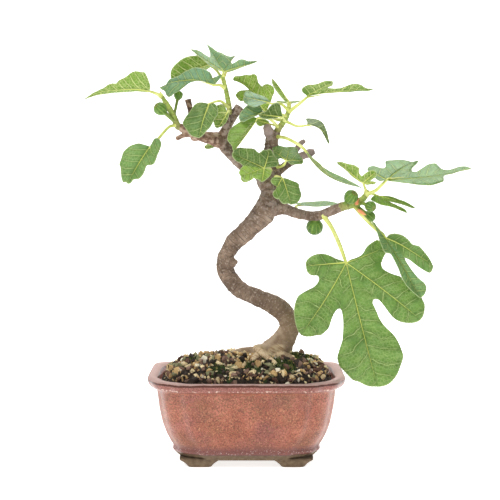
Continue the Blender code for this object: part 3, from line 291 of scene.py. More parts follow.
# Margins of the drawn leaves, in the photo's pixels, right and down, from the leaf's foot round the
# blade and back to it. Each lobe: the tip of its vein, the vein's control point or None, the margin's
# points before the tip, and those after it, with the notch before the next lobe as the last
OUTLINES = {
    "leaf_biggest": (
        ((385.5, 247), (362, 258),
         ((351, 259.5), (356, 258), (361, 255.5), (364, 252), (366, 248), (369, 244.5), (373, 242),
          (377, 240.3), (382.5, 242.5)),
         ((385.3, 252.5), (383, 257.5), (381.2, 263))),
        ((420.5, 320), (388, 292),
         ((382.5, 268), (386, 271), (391, 273.5), (396, 275), (401, 276.5), (403.5, 280), (407, 283),
          (412, 287), (419, 293), (422.8, 301), (424.3, 304), (424.6, 310), (423.3, 316)),
         ((415, 322.8), (409, 323.5), (403, 322.5), (398, 320.5), (393, 317), (389, 312.5), (385, 307),
          (380, 301), (375.8, 299))),
        ((377.5, 386.8), (360, 322),
         ((373.3, 299.8), (372.6, 303), (374.5, 307), (377, 312.5), (379.5, 318.5), (383, 324),
          (387, 328.5), (392, 333), (396, 338), (399.5, 344), (402, 350), (403.8, 356), (403, 361.5),
          (400.5, 367.5), (397.5, 374), (394, 379), (389, 383.5), (383, 386)),
         ((370, 386.7), (364, 384.5), (358, 381.5), (353, 380), (348, 375), (344, 370.5), (340, 366),
          (338.3, 362), (337.3, 357), (338.5, 352), (340, 347), (342, 341), (342.8, 334), (343.2, 326),
          (343, 319), (342, 312), (340.3, 308.8))),
        ((300.5, 334.5), (327, 301),
         ((338, 309), (335.5, 311.5), (333, 316), (330.5, 323), (328.5, 328.5), (325, 332),
          (321, 335.2), (316, 335.8), (311, 336.9), (305, 336.5)),
         ((298.5, 331.5), (296.8, 327), (295.2, 319), (294.6, 311), (295.3, 303), (297, 297.5),
          (300, 294.5), (307, 290.5), (313, 287.5), (317, 283.5), (319, 279))),
        ((305.7, 266), None,
         ((317, 276), (313, 275.8), (309.5, 275), (306.5, 271.5)),
         ((306, 262), (309, 258), (314, 255), (320, 253.8), (326, 254.5), (331, 256.5), (336, 259),
          (342, 260.4))),
    ),
    "leaf_left_hanging": (
        ((127.5, 183.7), (141, 158.5),
         ((152.3, 143), (153.5, 140), (155.5, 138), (158.5, 138.5), (160.5, 141), (161, 144.5),
          (159.2, 150), (157.5, 154), (156, 158.5), (154, 163), (151, 164.8), (147.5, 165),
          (145.5, 167), (144, 171.5), (142, 175.5), (139.5, 178.8), (137, 179.3), (133.5, 180),
          (131.5, 182.5), (129.5, 183.9)),
         ((125.3, 182), (123, 182.5), (121.5, 178.5), (120.8, 173), (120.3, 167), (119.3, 164.5),
          (121, 160), (122.3, 156), (124, 152), (127, 149), (131, 145.8), (136, 143.5), (139.5, 143),
          (142, 143.8), (146, 145))),
    ),
    "leaf_left_round": (
        ((199, 138.2), (203, 118),
         ((211.5, 103.5), (214.5, 103), (217, 105.5), (218.3, 110), (217.7, 115), (215, 118.5),
          (212.5, 123), (210.5, 127.5), (206.5, 131.5), (203, 135.5)),
         ((194, 137), (190, 134.5), (187, 130.5), (184, 126.5), (182.5, 123), (185, 118), (188, 114),
          (191, 110), (194.5, 105), (198, 102.5), (202, 102), (207, 103))),
    ),
    "leaf_left_far": (
        ((84.5, 99), (118, 86.5),
         ((151, 86), (149.5, 80), (147.5, 75), (145.3, 71), (142, 71), (138, 71), (134, 71.8),
          (130, 74.5), (126, 77.5), (121, 79.5), (118, 81.5), (116.3, 84), (112, 84), (108, 85),
          (104, 87.5), (98, 90), (93, 92.5), (89, 95.5)),
         ((88, 97.8), (95, 95.5), (103, 93.8), (110, 93), (120, 92.3), (130, 91.2), (140, 90.8))),
    ),
    "leaf_top": (
        ((190.5, 49.6), (206, 61),
         ((219, 70.5), (214, 68), (209, 65.5), (206, 62.5), (202, 59), (198, 56), (194, 52.5)),
         ((195, 49.9), (200, 51.5), (203, 53.5), (206.5, 55.5), (209.8, 57.3))),
        ((206.2, 43.5), None,
         ((210, 53), (208.5, 48)),
         ((209, 45.5), (213, 48), (217, 51), (221.5, 52.8))),
        ((236, 55), None,
         ((226, 55), (231, 56), (234.5, 55.5)),
         ((233, 57.5), (231, 60), (231, 62), (232.2, 63.6))),
        ((257.2, 62.4), None,
         ((235, 62.5), (239, 60), (243, 60), (248, 62), (252, 62), (256, 61.5)),
         ((254, 63.5), (249, 65.5), (243, 67.5), (237, 69.5), (231, 71.5), (226, 72.6))),
    ),
    "leaf_centre_lime": (
        ((274.6, 91), None,
         ((268, 107), (270.5, 104.5), (271.8, 101), (272.5, 97), (274, 94)),
         ((273, 87), (270, 84.8), (267, 84), (264, 84.5), (262, 86.5))),
        ((233.8, 78), (258, 88),
         ((259, 83.5), (257.5, 81), (257, 77), (255.5, 74.8), (253, 74), (250, 75), (247, 74.3),
          (243, 75.5), (239, 76.2), (235.5, 76.4)),
         ((233.8, 80.4), (237, 81.2), (242, 83), (246.5, 86.5), (250, 90))),
        ((235.5, 95), None,
         ((245, 90), (241, 90), (237.5, 91.8)),
         ((237.5, 98.5), (240.5, 101.2), (243.5, 100.8), (247, 102), (255, 106.5), (262, 109))),
    ),
    "leaf_centre_blue": (
        ((243.6, 97), None,
         ((269, 101.5), (265, 103), (260, 105), (256, 107), (252, 107.3), (248.5, 105.5), (245.5, 103),
          (243.3, 100.5)),
         ((244, 93.5), (245.5, 90.8), (249, 90.3), (254, 92), (260, 94.3), (266, 96.7))),
    ),
    "leaf_centre_low": (
        ((240, 121.3), None,
         ((259, 113.7), (255, 115.8), (251, 117.7), (247, 120), (243.5, 122)),
         ((239, 117.5), (240.5, 113), (244.5, 107.5), (249, 104.5), (253.5, 103.3), (259, 103.8),
          (261, 107))),
    ),
    "leaf_centre_dark": (
        ((258.3, 114.3), None,
         ((280, 116.3), (276, 118.3), (271, 118.7), (266, 119), (262, 118.2), (259.5, 116.5)),
         ((262, 112.7), (266, 111.2), (268, 109), (270, 106.5), (273, 104.2), (276, 103),
          (278.6, 103.4), (280.5, 107))),
    ),
    "leaf_middle_dark": (
        ((261.5, 182.2), None,
         ((268, 168.8), (271, 171), (270, 175.5), (267, 179), (264, 181.3)),
         ((257, 179.5), (253.5, 178), (251, 176))),
        ((240.5, 176), None,
         ((252.5, 179), (250, 180.7), (246, 181), (242.5, 179.3)),
         ((238.4, 173), (240, 168.5), (243, 165.7))),
        ((231.8, 153.5), None,
         ((239, 162.5), (235, 160.5), (232.3, 157)),
         ((233, 150.8), (235, 148.5), (240, 147.3), (246, 148), (252, 148.3), (255, 149.3),
          (256.8, 151.3), (259, 152.8))),
        ((269.5, 149), None,
         ((261.3, 151), (262.8, 149.4), (266, 149.5)),
         ((272.3, 151), (274, 155), (276.5, 159), (278.5, 163), (276, 166.5), (270, 167.3))),
    ),
    "leaf_middle_fan": (
        ((273, 150.5), None,
         ((281, 158), (277.5, 159), (275.2, 157.8), (273.5, 155)),
         ((272.5, 147), (275, 145), (279, 145.3), (281.5, 146.2))),
        ((290, 146.5), None,
         ((284, 146.8), (287, 147)),
         ((293, 146.7), (297, 147.8), (298.2, 152))),
        ((303.4, 161), None,
         ((300, 155), (302.5, 158)),
         ((302, 163.5), (299, 164), (295, 164.3), (291, 164), (288.5, 162))),
    ),
    "leaf_over_trunk": (
        ((291, 204.8), (286.5, 189),
         ((286, 178.3), (289, 179.5), (293, 181), (297, 182.5), (299, 184), (299.5, 187), (300.6, 191),
          (301.6, 195), (300.5, 198), (298.5, 201.5), (296, 203.8)),
         ((287.5, 203.7), (284.5, 204.2), (282, 203.5), (280.3, 201.7), (279, 199))),
        ((272.8, 194.5), None,
         ((276.5, 198.7), (274, 197.3)),
         ((273.8, 190.8), (276.6, 188.8), (277, 186), (274, 184.7), (271.5, 183), (270.5, 180),
          (272.5, 177.8), (276, 177.3), (280, 177.6))),
    ),
    "leaf_tip_young": (
        ((376.3, 182), None,
         ((367, 184.6), (370, 184.4), (374.5, 184.4)),
         ((373, 181), (370.3, 181.3))),
        ((376, 171.5), None,
         ((372.5, 179.2), (375.5, 177), (377, 174.3)),
         ((373.5, 169.8), (370, 170), (367, 171.5), (364.5, 173.8), (362, 176))),
        ((336.6, 162), None,
         ((360.3, 174), (358.9, 171), (359.6, 168.2), (357, 166.5), (354, 165), (350, 164.5),
          (346, 163.5), (341, 162)),
         ((337, 164.3), (340, 166.5), (344, 169), (349, 173), (353, 177), (356.5, 179.3), (360, 181.5))),
    ),
    "leaf_right_big": (
        ((367.3, 169.6), None,
         ((382, 180.8), (378, 179.8), (374.5, 177.5), (371, 174.5), (368.5, 172.3)),
         ((369, 167.3), (373, 166.3), (377, 167), (381, 168.5), (384.2, 169.2))),
        ((418.5, 160.5), (395, 171),
         ((385.6, 166.5), (385.3, 162), (387.5, 160.3), (392, 159.2), (397, 158.3), (402, 159),
          (408, 160), (413, 160.8)),
         ((416, 163.5), (413.5, 166), (411.5, 169), (412.3, 171))),
        ((471.5, 170.3), (425, 180),
         ((416, 171.2), (420, 170.3), (423, 168.8), (426, 166), (430, 164.3), (435, 163.8),
          (438, 165.5), (441, 168), (445, 169.5), (450, 169.8), (455, 169.3), (460, 168.6), (465, 169)),
         ((466, 171.7), (458, 173.2), (452, 174.6), (446, 175.8), (443.6, 178), (443.5, 181.5),
          (440, 182.7), (436, 183.7), (430, 184.6), (423, 184.2), (415, 184), (407, 183.7),
          (399, 183.6), (393, 182.9), (388.5, 181.7))),
    ),
    "leaf_right_folded": (
        ((433.6, 266.5), (408, 247),
         ((388, 235.3), (391.5, 234.3), (396, 234.5), (401, 235.5), (405, 237.3), (409, 240),
          (412, 243.3), (416, 245), (419, 246), (421.5, 248.5), (424, 251.5), (427, 255), (430, 259),
          (432, 262.5)),
         ((432.3, 270), (430, 272.8), (427, 272.2), (423, 270), (418.5, 266.5), (414, 262.5),
          (410, 259.5), (405, 257.8))),
        ((420.5, 298), (398, 258),
         ((406, 261), (409, 265.5), (412.5, 270.5), (416, 275), (420, 279.5), (424, 283), (426.3, 288),
          (425.5, 292.5), (423.5, 296)),
         ((417, 296.7), (412, 292), (408, 287), (404, 281), (401, 276), (398.3, 270), (395.5, 264),
          (393.5, 259), (391, 254), (388, 253.3))),
        ((371.5, 220.5), None,
         ((384.5, 252.3), (382.5, 249), (380, 244), (378, 239), (377.3, 235), (376.3, 231),
          (376.3, 227), (374, 224)),
         ((375, 222), (377.2, 226), (380, 230), (383, 233.5))),
    ),
    "leaf_upper_right": (
        ((373.5, 88), (336, 91.5),
         ((311, 97), (318, 95.8), (325, 94.8), (332, 94), (340, 93), (348, 92.2), (355, 91.2),
          (362, 90.2), (369, 89.3)),
         ((366, 87.2), (362, 85.5), (357, 84.6), (352, 85), (348, 86.5), (345, 88.5), (340, 89.2),
          (334, 89.8), (328, 89.8))),
        ((332.8, 82.6), None,
         ((328.5, 88.3), (331.5, 87.6), (333, 85.5)),
         ((327, 82.3), (322, 83.5), (318, 85), (313, 85.2), (309.5, 84.3), (307, 85), (303.5, 88),
          (301.6, 91.5), (303.5, 95))),
    ),
    "leaf_centre_hanging": (
        ((233.6, 151.5), None,
         ((254.5, 120), (250, 125), (246, 130), (241, 135), (238, 140), (235.7, 145), (234.8, 150)),
         ((232, 149), (231, 145), (227.5, 140), (228.5, 134), (232, 128), (237, 123.5), (241, 121),
          (247, 118.5), (252, 116.8))),
    ),
    "leaf_right_bent": (
        ((329.2, 143.7), (320, 127),
         ((307, 122), (306, 119), (311, 118.6), (316, 119.2), (320, 120.7), (323, 123.3), (324.7, 127),
          (326.2, 131), (327.7, 136), (329, 141)),
         ((327, 142), (325, 138), (322.5, 133), (319.5, 128.7), (315, 126.2), (311, 125))),
    ),
    "leaf_top_curled": (
        ((159.5, 87.5), (190, 74.5),
         ((210, 84), (206, 82), (202, 79.8), (197, 80.5), (192, 81), (187, 83), (183, 87), (179, 90.5),
          (174, 93.5), (171, 96.5), (168, 97), (166, 95), (165, 91.5), (162, 89.5)),
         ((165, 87), (166.5, 84), (169, 80), (174, 77.5), (179, 75), (184, 72), (189, 70), (194, 68),
          (199, 68), (204, 69), (208, 71), (211, 73.5), (212.3, 77), (212.5, 79.5), (215.5, 78),
          (219, 75.5), (222.5, 74.5), (220, 78.5), (217, 82))),
    ),
    "leaf_left_small": (
        ((218, 128), None,
         ((224, 104.8), (219, 104.5), (214, 107), (213, 112), (213, 118), (214, 124), (215.5, 127.5)),
         ((222, 126.5), (226, 122.5), (228.5, 117), (229, 112))),
    ),
    "leaf_centre_small": (
        ((256, 120), None,
         ((269, 121.5), (266, 119.5), (262, 118.3), (258, 118.5)),
         ((256, 123), (258.5, 125.5), (261, 126.2), (263, 125.2), (267, 125.5))),
    ),
    "leaf_tip_edge": (
        ((416, 208), None,
         ((377.5, 195.3), (390, 196.5), (400, 200.6), (412.5, 205.6)),
         ((410, 207.7), (400, 205), (392, 202.6), (388, 201.5))),
        ((406.9, 213.5), None,
         ((396, 205.5), (405, 210.3)),
         ((400, 211), (390, 206.6), (381, 204.4), (375, 201.5), (371, 198.8))),
    ),
}

# How light each leaf is, one value for it or one for each lobe: 0 is blue green, a painted reflection
# of the sky, 0.4 mid green and 0.85 lime, as new growth
LEAF_TONES = {
    "leaf_left_far": 0.62, "leaf_left_hanging": 0.33, "leaf_left_round": 0.36, "leaf_left_small": 0.7,
    "leaf_top": 0.12, "leaf_top_curled": 0.05, "leaf_top_back": 0.6, "leaf_centre_lime": 0.85,
    "leaf_centre_blue": 0.0, "leaf_centre_low": 0.05, "leaf_centre_dark": 0.38,
    "leaf_centre_hanging": 0.62, "leaf_centre_small": 0.8, "leaf_centre_upright": 0.8,
    "leaf_centre_behind": 0.2, "leaf_upper_right": 0.55, "leaf_right_bent": 0.45,
    "leaf_right_drooping": 0.3, "leaf_tip_edge": (0.66, 0.6), "leaf_branch_behind": 0.15,
    "leaf_middle_fan": 0.3, "leaf_over_trunk": (0.4, 0.5), "leaf_middle_dark": (0.66, 0.74, 0.4, 0.4),
    "leaf_middle_small": 0.85, "leaf_tip_young": 0.84, "leaf_right_big": 0.2,
    "leaf_right_folded": (0.38, 0.24, 0.24), "leaf_biggest": 0.42, "leaf_twig_under": 0.7,
}
# Painted shade: how much darker than their tone some leaves or lobes are painted, where they lie in shade
LEAF_PAINTED_SHADE = {
    "leaf_left_round": 0.35, "leaf_centre_dark": 0.75, "leaf_right_bent": 0.85,
    "leaf_middle_dark": (0, 0, 0.5, 0.6), "leaf_over_trunk": 0.15, "leaf_middle_fan": 0.2,
    "leaf_left_small": 0.3,
}
# Ramps from those values to colours, for a leaf's upper and lower face
# The upper face's blue green at 0 is the painted sky reflection.
UPPER_TONES = ((0.0, "#86B294"), (0.2, "#86B27A"), (0.4, "#7EA658"), (0.6, "#94BC54"), (0.85, "#B6D656"))
UNDER_TONES = ((0.0, "#8CA85E"), (0.5, "#6A9634"), (0.85, "#A2C850"))
LEAF_GLOW = "#9CC23A"  # of the light that comes through
# How a drawn margin's pixels are carried onto its blade, in mm: the starts round the last spot, the
# push that measures slopes, the longest and the last step, and the damping
STARTS = ((0, 0), (8, 0), (-8, 0), (0, 8), (0, -8), (15, 10), (-15, 10), (15, -10), (-15, -10))
PUSH = 0.01
LONGEST_STEP = 4.0
LAST_STEP = 1e-4
MOST_STEPS = 60
DAMPING = 1e-4
PETIOLE_RADIUS = (1.75, 1.05)  # at the stem, and at the leaf's foot
VEIN_SPAN = 0.96  # a lobe's vein ends this far along it
TOOTH = (3.0, 0.45)  # mm: pitch and depth of the scallops round a leaf
WAVE = (15.0, 0.9)  # and of the slower waves of its margin
BLADE_THICK = 0.4
BIG_LEAF = 100.0  # longer leaves get a finer grid


def metres(points):
    """Points in mm round the pot's middle, carried into the frame."""
    return np.asarray(points, dtype=float) * MM + POT_MIDDLE


def unit(vectors):
    vectors = np.asarray(vectors, dtype=float)
    return vectors / np.linalg.norm(vectors, axis=-1, keepdims=True)


def lattice(cells, seed):
    """A random value from 0 to 1 for each whole-numbered cell, by mixing the bits of its numbers."""
    mixed = (cells[..., 0] * 73856093) ^ (cells[..., 1] * 19349663) ^ (cells[..., 2] * 83492791)
    mixed = (mixed ^ (seed * 40503)) & 0xFFFFFFFF
    mixed = ((mixed ^ (mixed >> 15)) * 2246822519) & 0xFFFFFFFF
    mixed = ((mixed ^ (mixed >> 13)) * 3266489917) & 0xFFFFFFFF
    return ((mixed ^ (mixed >> 16)) & 0xFFFF) / 65535.0


def lumps(points, size, seed):
    """Smooth noise from -1 to 1: random values on a lattice of that size, blended by u*u*(3 - 2u)."""
    place = np.asarray(points, dtype=float) / size + 500.0
    cells = np.floor(place).astype(np.int64)
    share = place - cells
    share = share * share * (3 - 2 * share)
    total = 0.0
    for corner in itertools.product((0, 1), repeat=3):
        weight = np.prod(np.where(np.array(corner) == 1, share, 1 - share), axis=-1)
        total = total + weight * lattice(cells + np.array(corner), seed)
    return 2 * total - 1


class Surface:
    """Gathers grids of points, in mm, into one mesh."""

    def __init__(self):
        self.count = 0
        self.points = []
        self.faces = []
        self.maps = {}
        self.values = {}

    def add_faces(self, corners, maps):
        """Faces of one kind: corners is (faces, 3 or 4), and maps hold as many pairs each."""
        self.faces.append(corners + self.count)
        for name, pairs in maps.items():
            self.maps.setdefault(name, []).append(np.asarray(pairs).reshape(-1, 2))

    def grid(self, points, maps=None, values=None, closed=False, start=None, end=None):
        """Rows of points, joined in quads. closed joins each row's end to its start; start and end are
        points that close the first and the last row. maps hold (rows, columns + closed, 2) pairs."""
        maps = maps or {}
        rows, columns = points.shape[:2]
        i, j = np.meshgrid(np.arange(rows - 1), np.arange(columns - 1 + closed), indexing="ij")
        i = np.stack([i, i, i + 1, i + 1], axis=-1).reshape(-1, 4)
        j = np.stack([j, j + 1, j + 1, j], axis=-1).reshape(-1, 4)
        self.add_faces(i * columns + j % columns, {name: pairs[i, j] for name, pairs in maps.items()})
        gathered = [points.reshape(-1, 3)]
        extra = rows * columns
        around = np.arange(columns)
        for pole, row, turned in ((start, 0, True), (end, rows - 1, False)):
            if pole is None:
                continue
            first, second = row * columns + around, row * columns + (around + 1) % columns
            if turned:
                first, second = second, first
            corners = np.stack([first, second, np.full(columns, extra)], axis=-1)
            fans = {}
            for name, pairs in maps.items():
                now, after = pairs[row, around], pairs[row, around + 1]
                if turned:
                    now, after = after, now
                fans[name] = np.stack([now, after, (now + after) / 2], axis=1)
            self.add_faces(corners, fans)
            gathered.append(np.asarray(pole, dtype=float).reshape(1, 3))
            extra += 1
        self.points += gathered
        for name, value in (values or {}).items():
            spread = np.zeros(extra)
            spread[:rows * columns] = np.broadcast_to(value, (rows, columns)).reshape(-1)
            spread[rows * columns:] = np.mean(spread[:rows * columns])
            self.values.setdefault(name, []).append(spread)
        self.count += extra

    def scatter(self, points, faces, values):
        """Copies of a small closed shape: points is (copies, corners, 3), values one for each copy."""
        copies, corners = points.shape[:2]
        shifted = faces[None] + (np.arange(copies) * corners)[:, None, None]
        self.add_faces(shifted.reshape(-1, faces.shape[1]), {})
        self.points.append(points.reshape(-1, 3))
        for name, value in values.items():
            self.values.setdefault(name, []).append(np.repeat(value, corners))
        self.count += copies * corners

    def loose(self, name):
        """The gathered mesh as an object that isn't in the scene."""
        mesh = bpy.data.meshes.new(name)
        faces = [face for group in self.faces for face in group.tolist()]
        mesh.from_pydata(metres(np.concatenate(self.points)).tolist(), [], faces)
        return bpy.data.objects.new(name, mesh)

    def piece(self, name, finishes, stands_for=(), smooth=True, merge=False):
        """The finished object, riding on the root body."""
        made = self.loose(name)
        mesh = made.data
        for finish in finishes:
            mesh.materials.append(finish)
        for label, pairs in self.maps.items():
            layer = mesh.uv_layers.new(name=label)
            layer.uv.foreach_set("vector", np.concatenate(pairs).astype(np.float32).ravel())
        for label, value in self.values.items():
            attribute = mesh.attributes.new(label, "FLOAT", "POINT")
            attribute.data.foreach_set("value", np.concatenate(value).astype(np.float32))
        if merge:
            work = bmesh.new()
            work.from_mesh(mesh)
            bmesh.ops.remove_doubles(work, verts=work.verts, dist=2e-6)
            bmesh.ops.dissolve_degenerate(work, edges=work.edges, dist=1e-6)
            work.to_mesh(mesh)
            work.free()
        mesh.polygons.foreach_set("use_smooth", np.full(len(mesh.polygons), smooth))
        mesh.update()
        bpy.context.scene.collection.objects.link(made)
        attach(made, "root")
        if stands_for:
            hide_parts(*stands_for)
        return made


def smooth_path(points, steps):
    """A smooth curve through points, by Catmull and Rom's cubic, steps to each stretch."""
    rows = np.array(points, dtype=float)
    rows = np.vstack([2 * rows[0] - rows[1], rows, 2 * rows[-1] - rows[-2]])
    share = np.linspace(0, 1, steps, endpoint=False)[:, None]
    parts = []
    for a, b, c, d in zip(rows[:-3], rows[1:-2], rows[2:-1], rows[3:]):
        parts.append(0.5 * (2 * b + (c - a) * share + (2 * a - 5 * b + 4 * c - d) * share**2
                            + (3 * b - a - 3 * c + d) * share**3))
    return np.vstack(parts + [rows[-2][None, :]])


def evenly(rows, pitch):
    """Rows of (x, y, z, ...) respaced to an even pitch along their course."""
    rows = np.asarray(rows, dtype=float)
    along = np.concatenate([[0], np.cumsum(np.linalg.norm(np.diff(rows[:, :3], axis=0), axis=1))])
    at = np.linspace(0, along[-1], max(int(along[-1] / pitch), 3) + 1)
    return np.stack([np.interp(at, along, column) for column in rows.T], axis=1), at


def course_frames(path):
    """Directions along, beside and above a course: beside is square to the course and to the normal
    of the plane that fits it best, so it never spins."""
    ahead = unit(np.gradient(path, axis=0))
    steady = np.linalg.svd(path - path.mean(axis=0))[2][2]
    beside = unit(np.cross(steady, ahead))
    return ahead, beside, np.cross(ahead, beside)


def limb(surface, rows, sides, pitch, relief=None, tips=(1.0, 1.0)):
    """A round limb: centre + r * (cos a * beside + sin a * above), r from the rows and the relief.

    Each end closes in four rings of r * cos b at r * sin b further out: tips is 1 for a dome and near
    0 for a flat cut. relief(points, along, angle, radius) gives what is added to r.
    """
    rows, along = evenly(rows, pitch)
    path, radius = rows[:, :3], rows[:, 3]
    ahead, beside, above = course_frames(path)
    bends = np.radians((18, 40, 62, 80))
    count = len(bends)
    caps = []
    for end, sign, round_off in ((0, -1, tips[0]), (-1, 1, tips[1])):
        reach = sign * radius[end] * round_off * np.sin(bends)
        caps.append((path[end] + reach[:, None] * ahead[end], radius[end] * np.cos(bends),
                     along[end] + reach, np.tile(beside[end], (count, 1)),
                     np.tile(above[end], (count, 1))))
    path, radius, along, beside, above = (
        np.concatenate([first[::-1], middle, last])
        for first, middle, last in zip(caps[0], (path, radius, along, beside, above), caps[1]))
    angle = np.linspace(0, 2 * math.pi, sides, endpoint=False)
    outward = (np.cos(angle)[None, :, None] * beside[:, None]
               + np.sin(angle)[None, :, None] * above[:, None])
    thick = np.repeat(radius[:, None], sides, axis=1)
    if relief:
        plain = path[:, None] + outward * thick[..., None]
        full = np.pad(radius[count:-count], count, mode="edge")[:, None]
        thick = thick * (1 + relief(plain, along[:, None], angle[None], full) / full)
    points = path[:, None] + outward * thick[..., None]
    girth = np.linspace(0, 1, sides + 1)[None, :] * (2 * math.pi * np.mean(radius))
    course = np.stack([np.broadcast_to(girth, (len(path), sides + 1)),
                       np.repeat(along[:, None], sides + 1, axis=1)], axis=-1)
    surface.grid(points, {"course": course}, closed=True, start=path[0], end=path[-1])


def softened(columns, width):
    """Closed rows of points blurred along themselves by a bell of that many points."""
    reach = np.arange(-3 * width, 3 * width + 1)
    bell = np.exp(-0.5 * (reach / width) ** 2)
    bell /= bell.sum()
    return sum(weight * np.roll(columns, shift, axis=-2) for weight, shift in zip(bell, reach))


def pot_outlines(insets):
    """The pot's outline at each inset, with AROUND_POT points spread evenly round the rim."""
    corner = np.array(CORNER)
    insets = np.asarray(insets, dtype=float)[:, None]
    x = RIM_X - insets - corner[None, :, 0]
    y = corner[None, :, 1] * (RIM_Y - insets)
    right = np.stack([x, y], axis=-1)
    turn_x, turn_y = np.array([-1, 1]), np.array([1, -1])
    rings = np.concatenate([right, right[:, ::-1] * turn_x, right[:, 1:] * -1.0,
                            right[:, :0:-1] * turn_y], axis=1)
    rim = np.vstack([rings[0], rings[0, :1]])
    reach = np.concatenate([[0], np.cumsum(np.linalg.norm(np.diff(rim, axis=0), axis=1))])
    place = np.interp(np.linspace(0, reach[-1], AROUND_POT, endpoint=False), reach, np.arange(len(rim)))
    whole = place.astype(int)
    share = (place - whole)[None, :, None]
    rings = np.concatenate([rings, rings[:, :1]], axis=1)
    return softened(rings[:, whole] * (1 - share) + rings[:, whole + 1] * share, 2)


def pot_profile(points, pitch, blur):
    """(inset, height) points respaced to a pitch and blurred, with both ends kept."""
    rows = np.array([(inset, 0.0, height) for inset, height in points])
    even = evenly(rows, pitch)[0]
    padded = np.vstack([np.repeat(even[:1], 3, 0), even, np.repeat(even[-1:], 3, 0)])
    bell = np.exp(-0.5 * (np.arange(-3, 4) / blur) ** 2)
    blurred = sum(w * padded[3 + s:3 + s + len(even)] for w, s in zip(bell / bell.sum(), range(-3, 4)))
    blurred[0], blurred[-1] = even[0], even[-1]
    return blurred[:, [0, 2]]


def rounded_square(half_x, half_y, height):
    """A ring of a square with round corners: |x/a|^5 + |y/b|^5 = 1."""
    angle = np.linspace(0, 2 * math.pi, 40, endpoint=False)
    reach = (np.abs(np.cos(angle)) ** 5 + np.abs(np.sin(angle)) ** 5) ** -0.2
    return np.stack([half_x * reach * np.cos(angle), half_y * reach * np.sin(angle),
                     np.full(len(angle), height)], axis=-1)


def pot_rings():
    """Outlines at the insets of the pot's profile, stacked from its base over the rim to the floor
    inside, with hand-made unevenness. The rim's back corners are drawn out towards
    |x/a|^6 + |y/b|^6 = 1, and its ends rise as the sixth power of x."""
    profile = np.vstack([pot_profile(POT_OUTSIDE, SOFT_EDGE, 0.8), pot_profile(POT_INSIDE, 4.0, 0.5)])
    rings = np.concatenate([pot_outlines(profile[:, 0]),
                            np.repeat(profile[:, 1][:, None, None], AROUND_POT, axis=1)], axis=-1)
    unevenness = sum(height * lumps(rings, size, seed) for size, height, seed in UNEVEN)
    wide, deep = np.abs(rings[..., :1]).max(axis=1), np.abs(rings[..., 1:2]).max(axis=1)
    square = (np.abs(rings[..., 0] / wide)**6 + np.abs(rings[..., 1] / deep)**6) ** (-1 / 6)
    at_rim = np.clip((rings[..., 2] - RIM_FROM_Z) / 4.0, 0, 1)
    at_back = np.clip((rings[..., 1] + 30.0) / 60.0, 0, 1)
    rings[..., :2] *= (1 + at_rim * at_back * (square - 1))[..., None]
    rings[..., 2] += RIM_LIFT * at_rim * np.abs(rings[..., 0] / RIM_X) ** 6
    height = rings[..., 2]
    between = np.clip((height - BASE_Z) / 8.0, 0, 1) * np.clip((RIM_TOP_Z - height) / 2.0, 0, 1)
    rings[..., :2] *= 1 + (unevenness * between / 90.0)[..., None]
    return rings


def cut_drains(pot):
    """Cuts the two drain holes through the pot's floor."""
    cutters = bpy.data.collections.new("drains")
    angle = np.linspace(0, 2 * math.pi, 32, endpoint=False)
    for side in (-1, 1):
        ends = [np.array([side * DRAIN_X, 0, height]) for height in DRAIN_CUT]
        circle = DRAIN_RADIUS * np.column_stack([np.cos(angle), np.sin(angle), 0 * angle])
        drain = Surface()
        drain.grid(np.array([end + circle for end in ends]), closed=True, start=ends[0], end=ends[1])
        cutters.objects.link(drain.loose("drain"))
    cut = pot.modifiers.new("drains", "BOOLEAN")
    cut.operand_type = "COLLECTION"
    cut.collection = cutters
    cut.solver = "EXACT"
    graph = bpy.context.evaluated_depsgraph_get()
    mesh = bpy.data.meshes.new_from_object(pot.evaluated_get(graph), depsgraph=graph)
    pot.modifiers.clear()
    pot.data = mesh
    for tool in list(cutters.objects):
        bpy.data.objects.remove(tool, do_unlink=True)
    bpy.data.collections.remove(cutters)


def build_pot(finish):
    """The pot with its four feet and two drain holes."""
    pot = Surface()
    pot.grid(pot_rings(), closed=True, start=(0, 0, BASE_Z), end=(0, 0, FLOOR_Z))
    foot = np.array([rounded_square(FOOT_SOLE[0] + out, FOOT_SOLE[1] + out * FOOT_SHARE_Y, height)
                     for height, out in FOOT_STEPS])
    for side_x, side_y in itertools.product((-1, 1), repeat=2):
        middle = np.array([side_x * FOOT_X, side_y * FOOT_Y, SOLE_Z])
        pot.grid(foot + middle, closed=True, start=middle, end=middle + (0, 0, FOOT_STEPS[-1][0]))
    cut_drains(pot.piece("pot_glazed", [finish], ["pot"]))


def soil_outline(height):
    """The soil's outline at a height: the pot's inner wall less a clearance."""
    insets, heights = zip(*POT_INSIDE)
    return pot_outlines([np.interp(-height, [-h for h in heights], insets) + SOIL_CLEARANCE])[0]


def soil_height(x, y, share):
    """Height of the soil: a flat filling with a low hill round the trunk; share is 1 at the wall."""
    off = ((x - HILL_AT[0]) / HILL_SPREAD[0])**2 + ((y - HILL_AT[1]) / HILL_SPREAD[1])**2
    return SOIL_EDGE_Z + FILL_RISE * (1 - share**9) + HILL_RISE * np.exp(-off)


def moss_share(x, y):
    """How mossy the soil is: 1 in the middle of a patch, falling off as a bell to its ragged edge."""
    spot = np.stack([x, y, np.zeros_like(x)], axis=-1)
    patches = sum(np.exp(-((x - px)**2 + (y - py)**2) / (2 * MOSS_SPREAD**2)) for px, py in MOSS_AT)
    return np.clip(patches + 0.6 * lumps(spot, 6.0, 5) - 0.15, 0, 1)


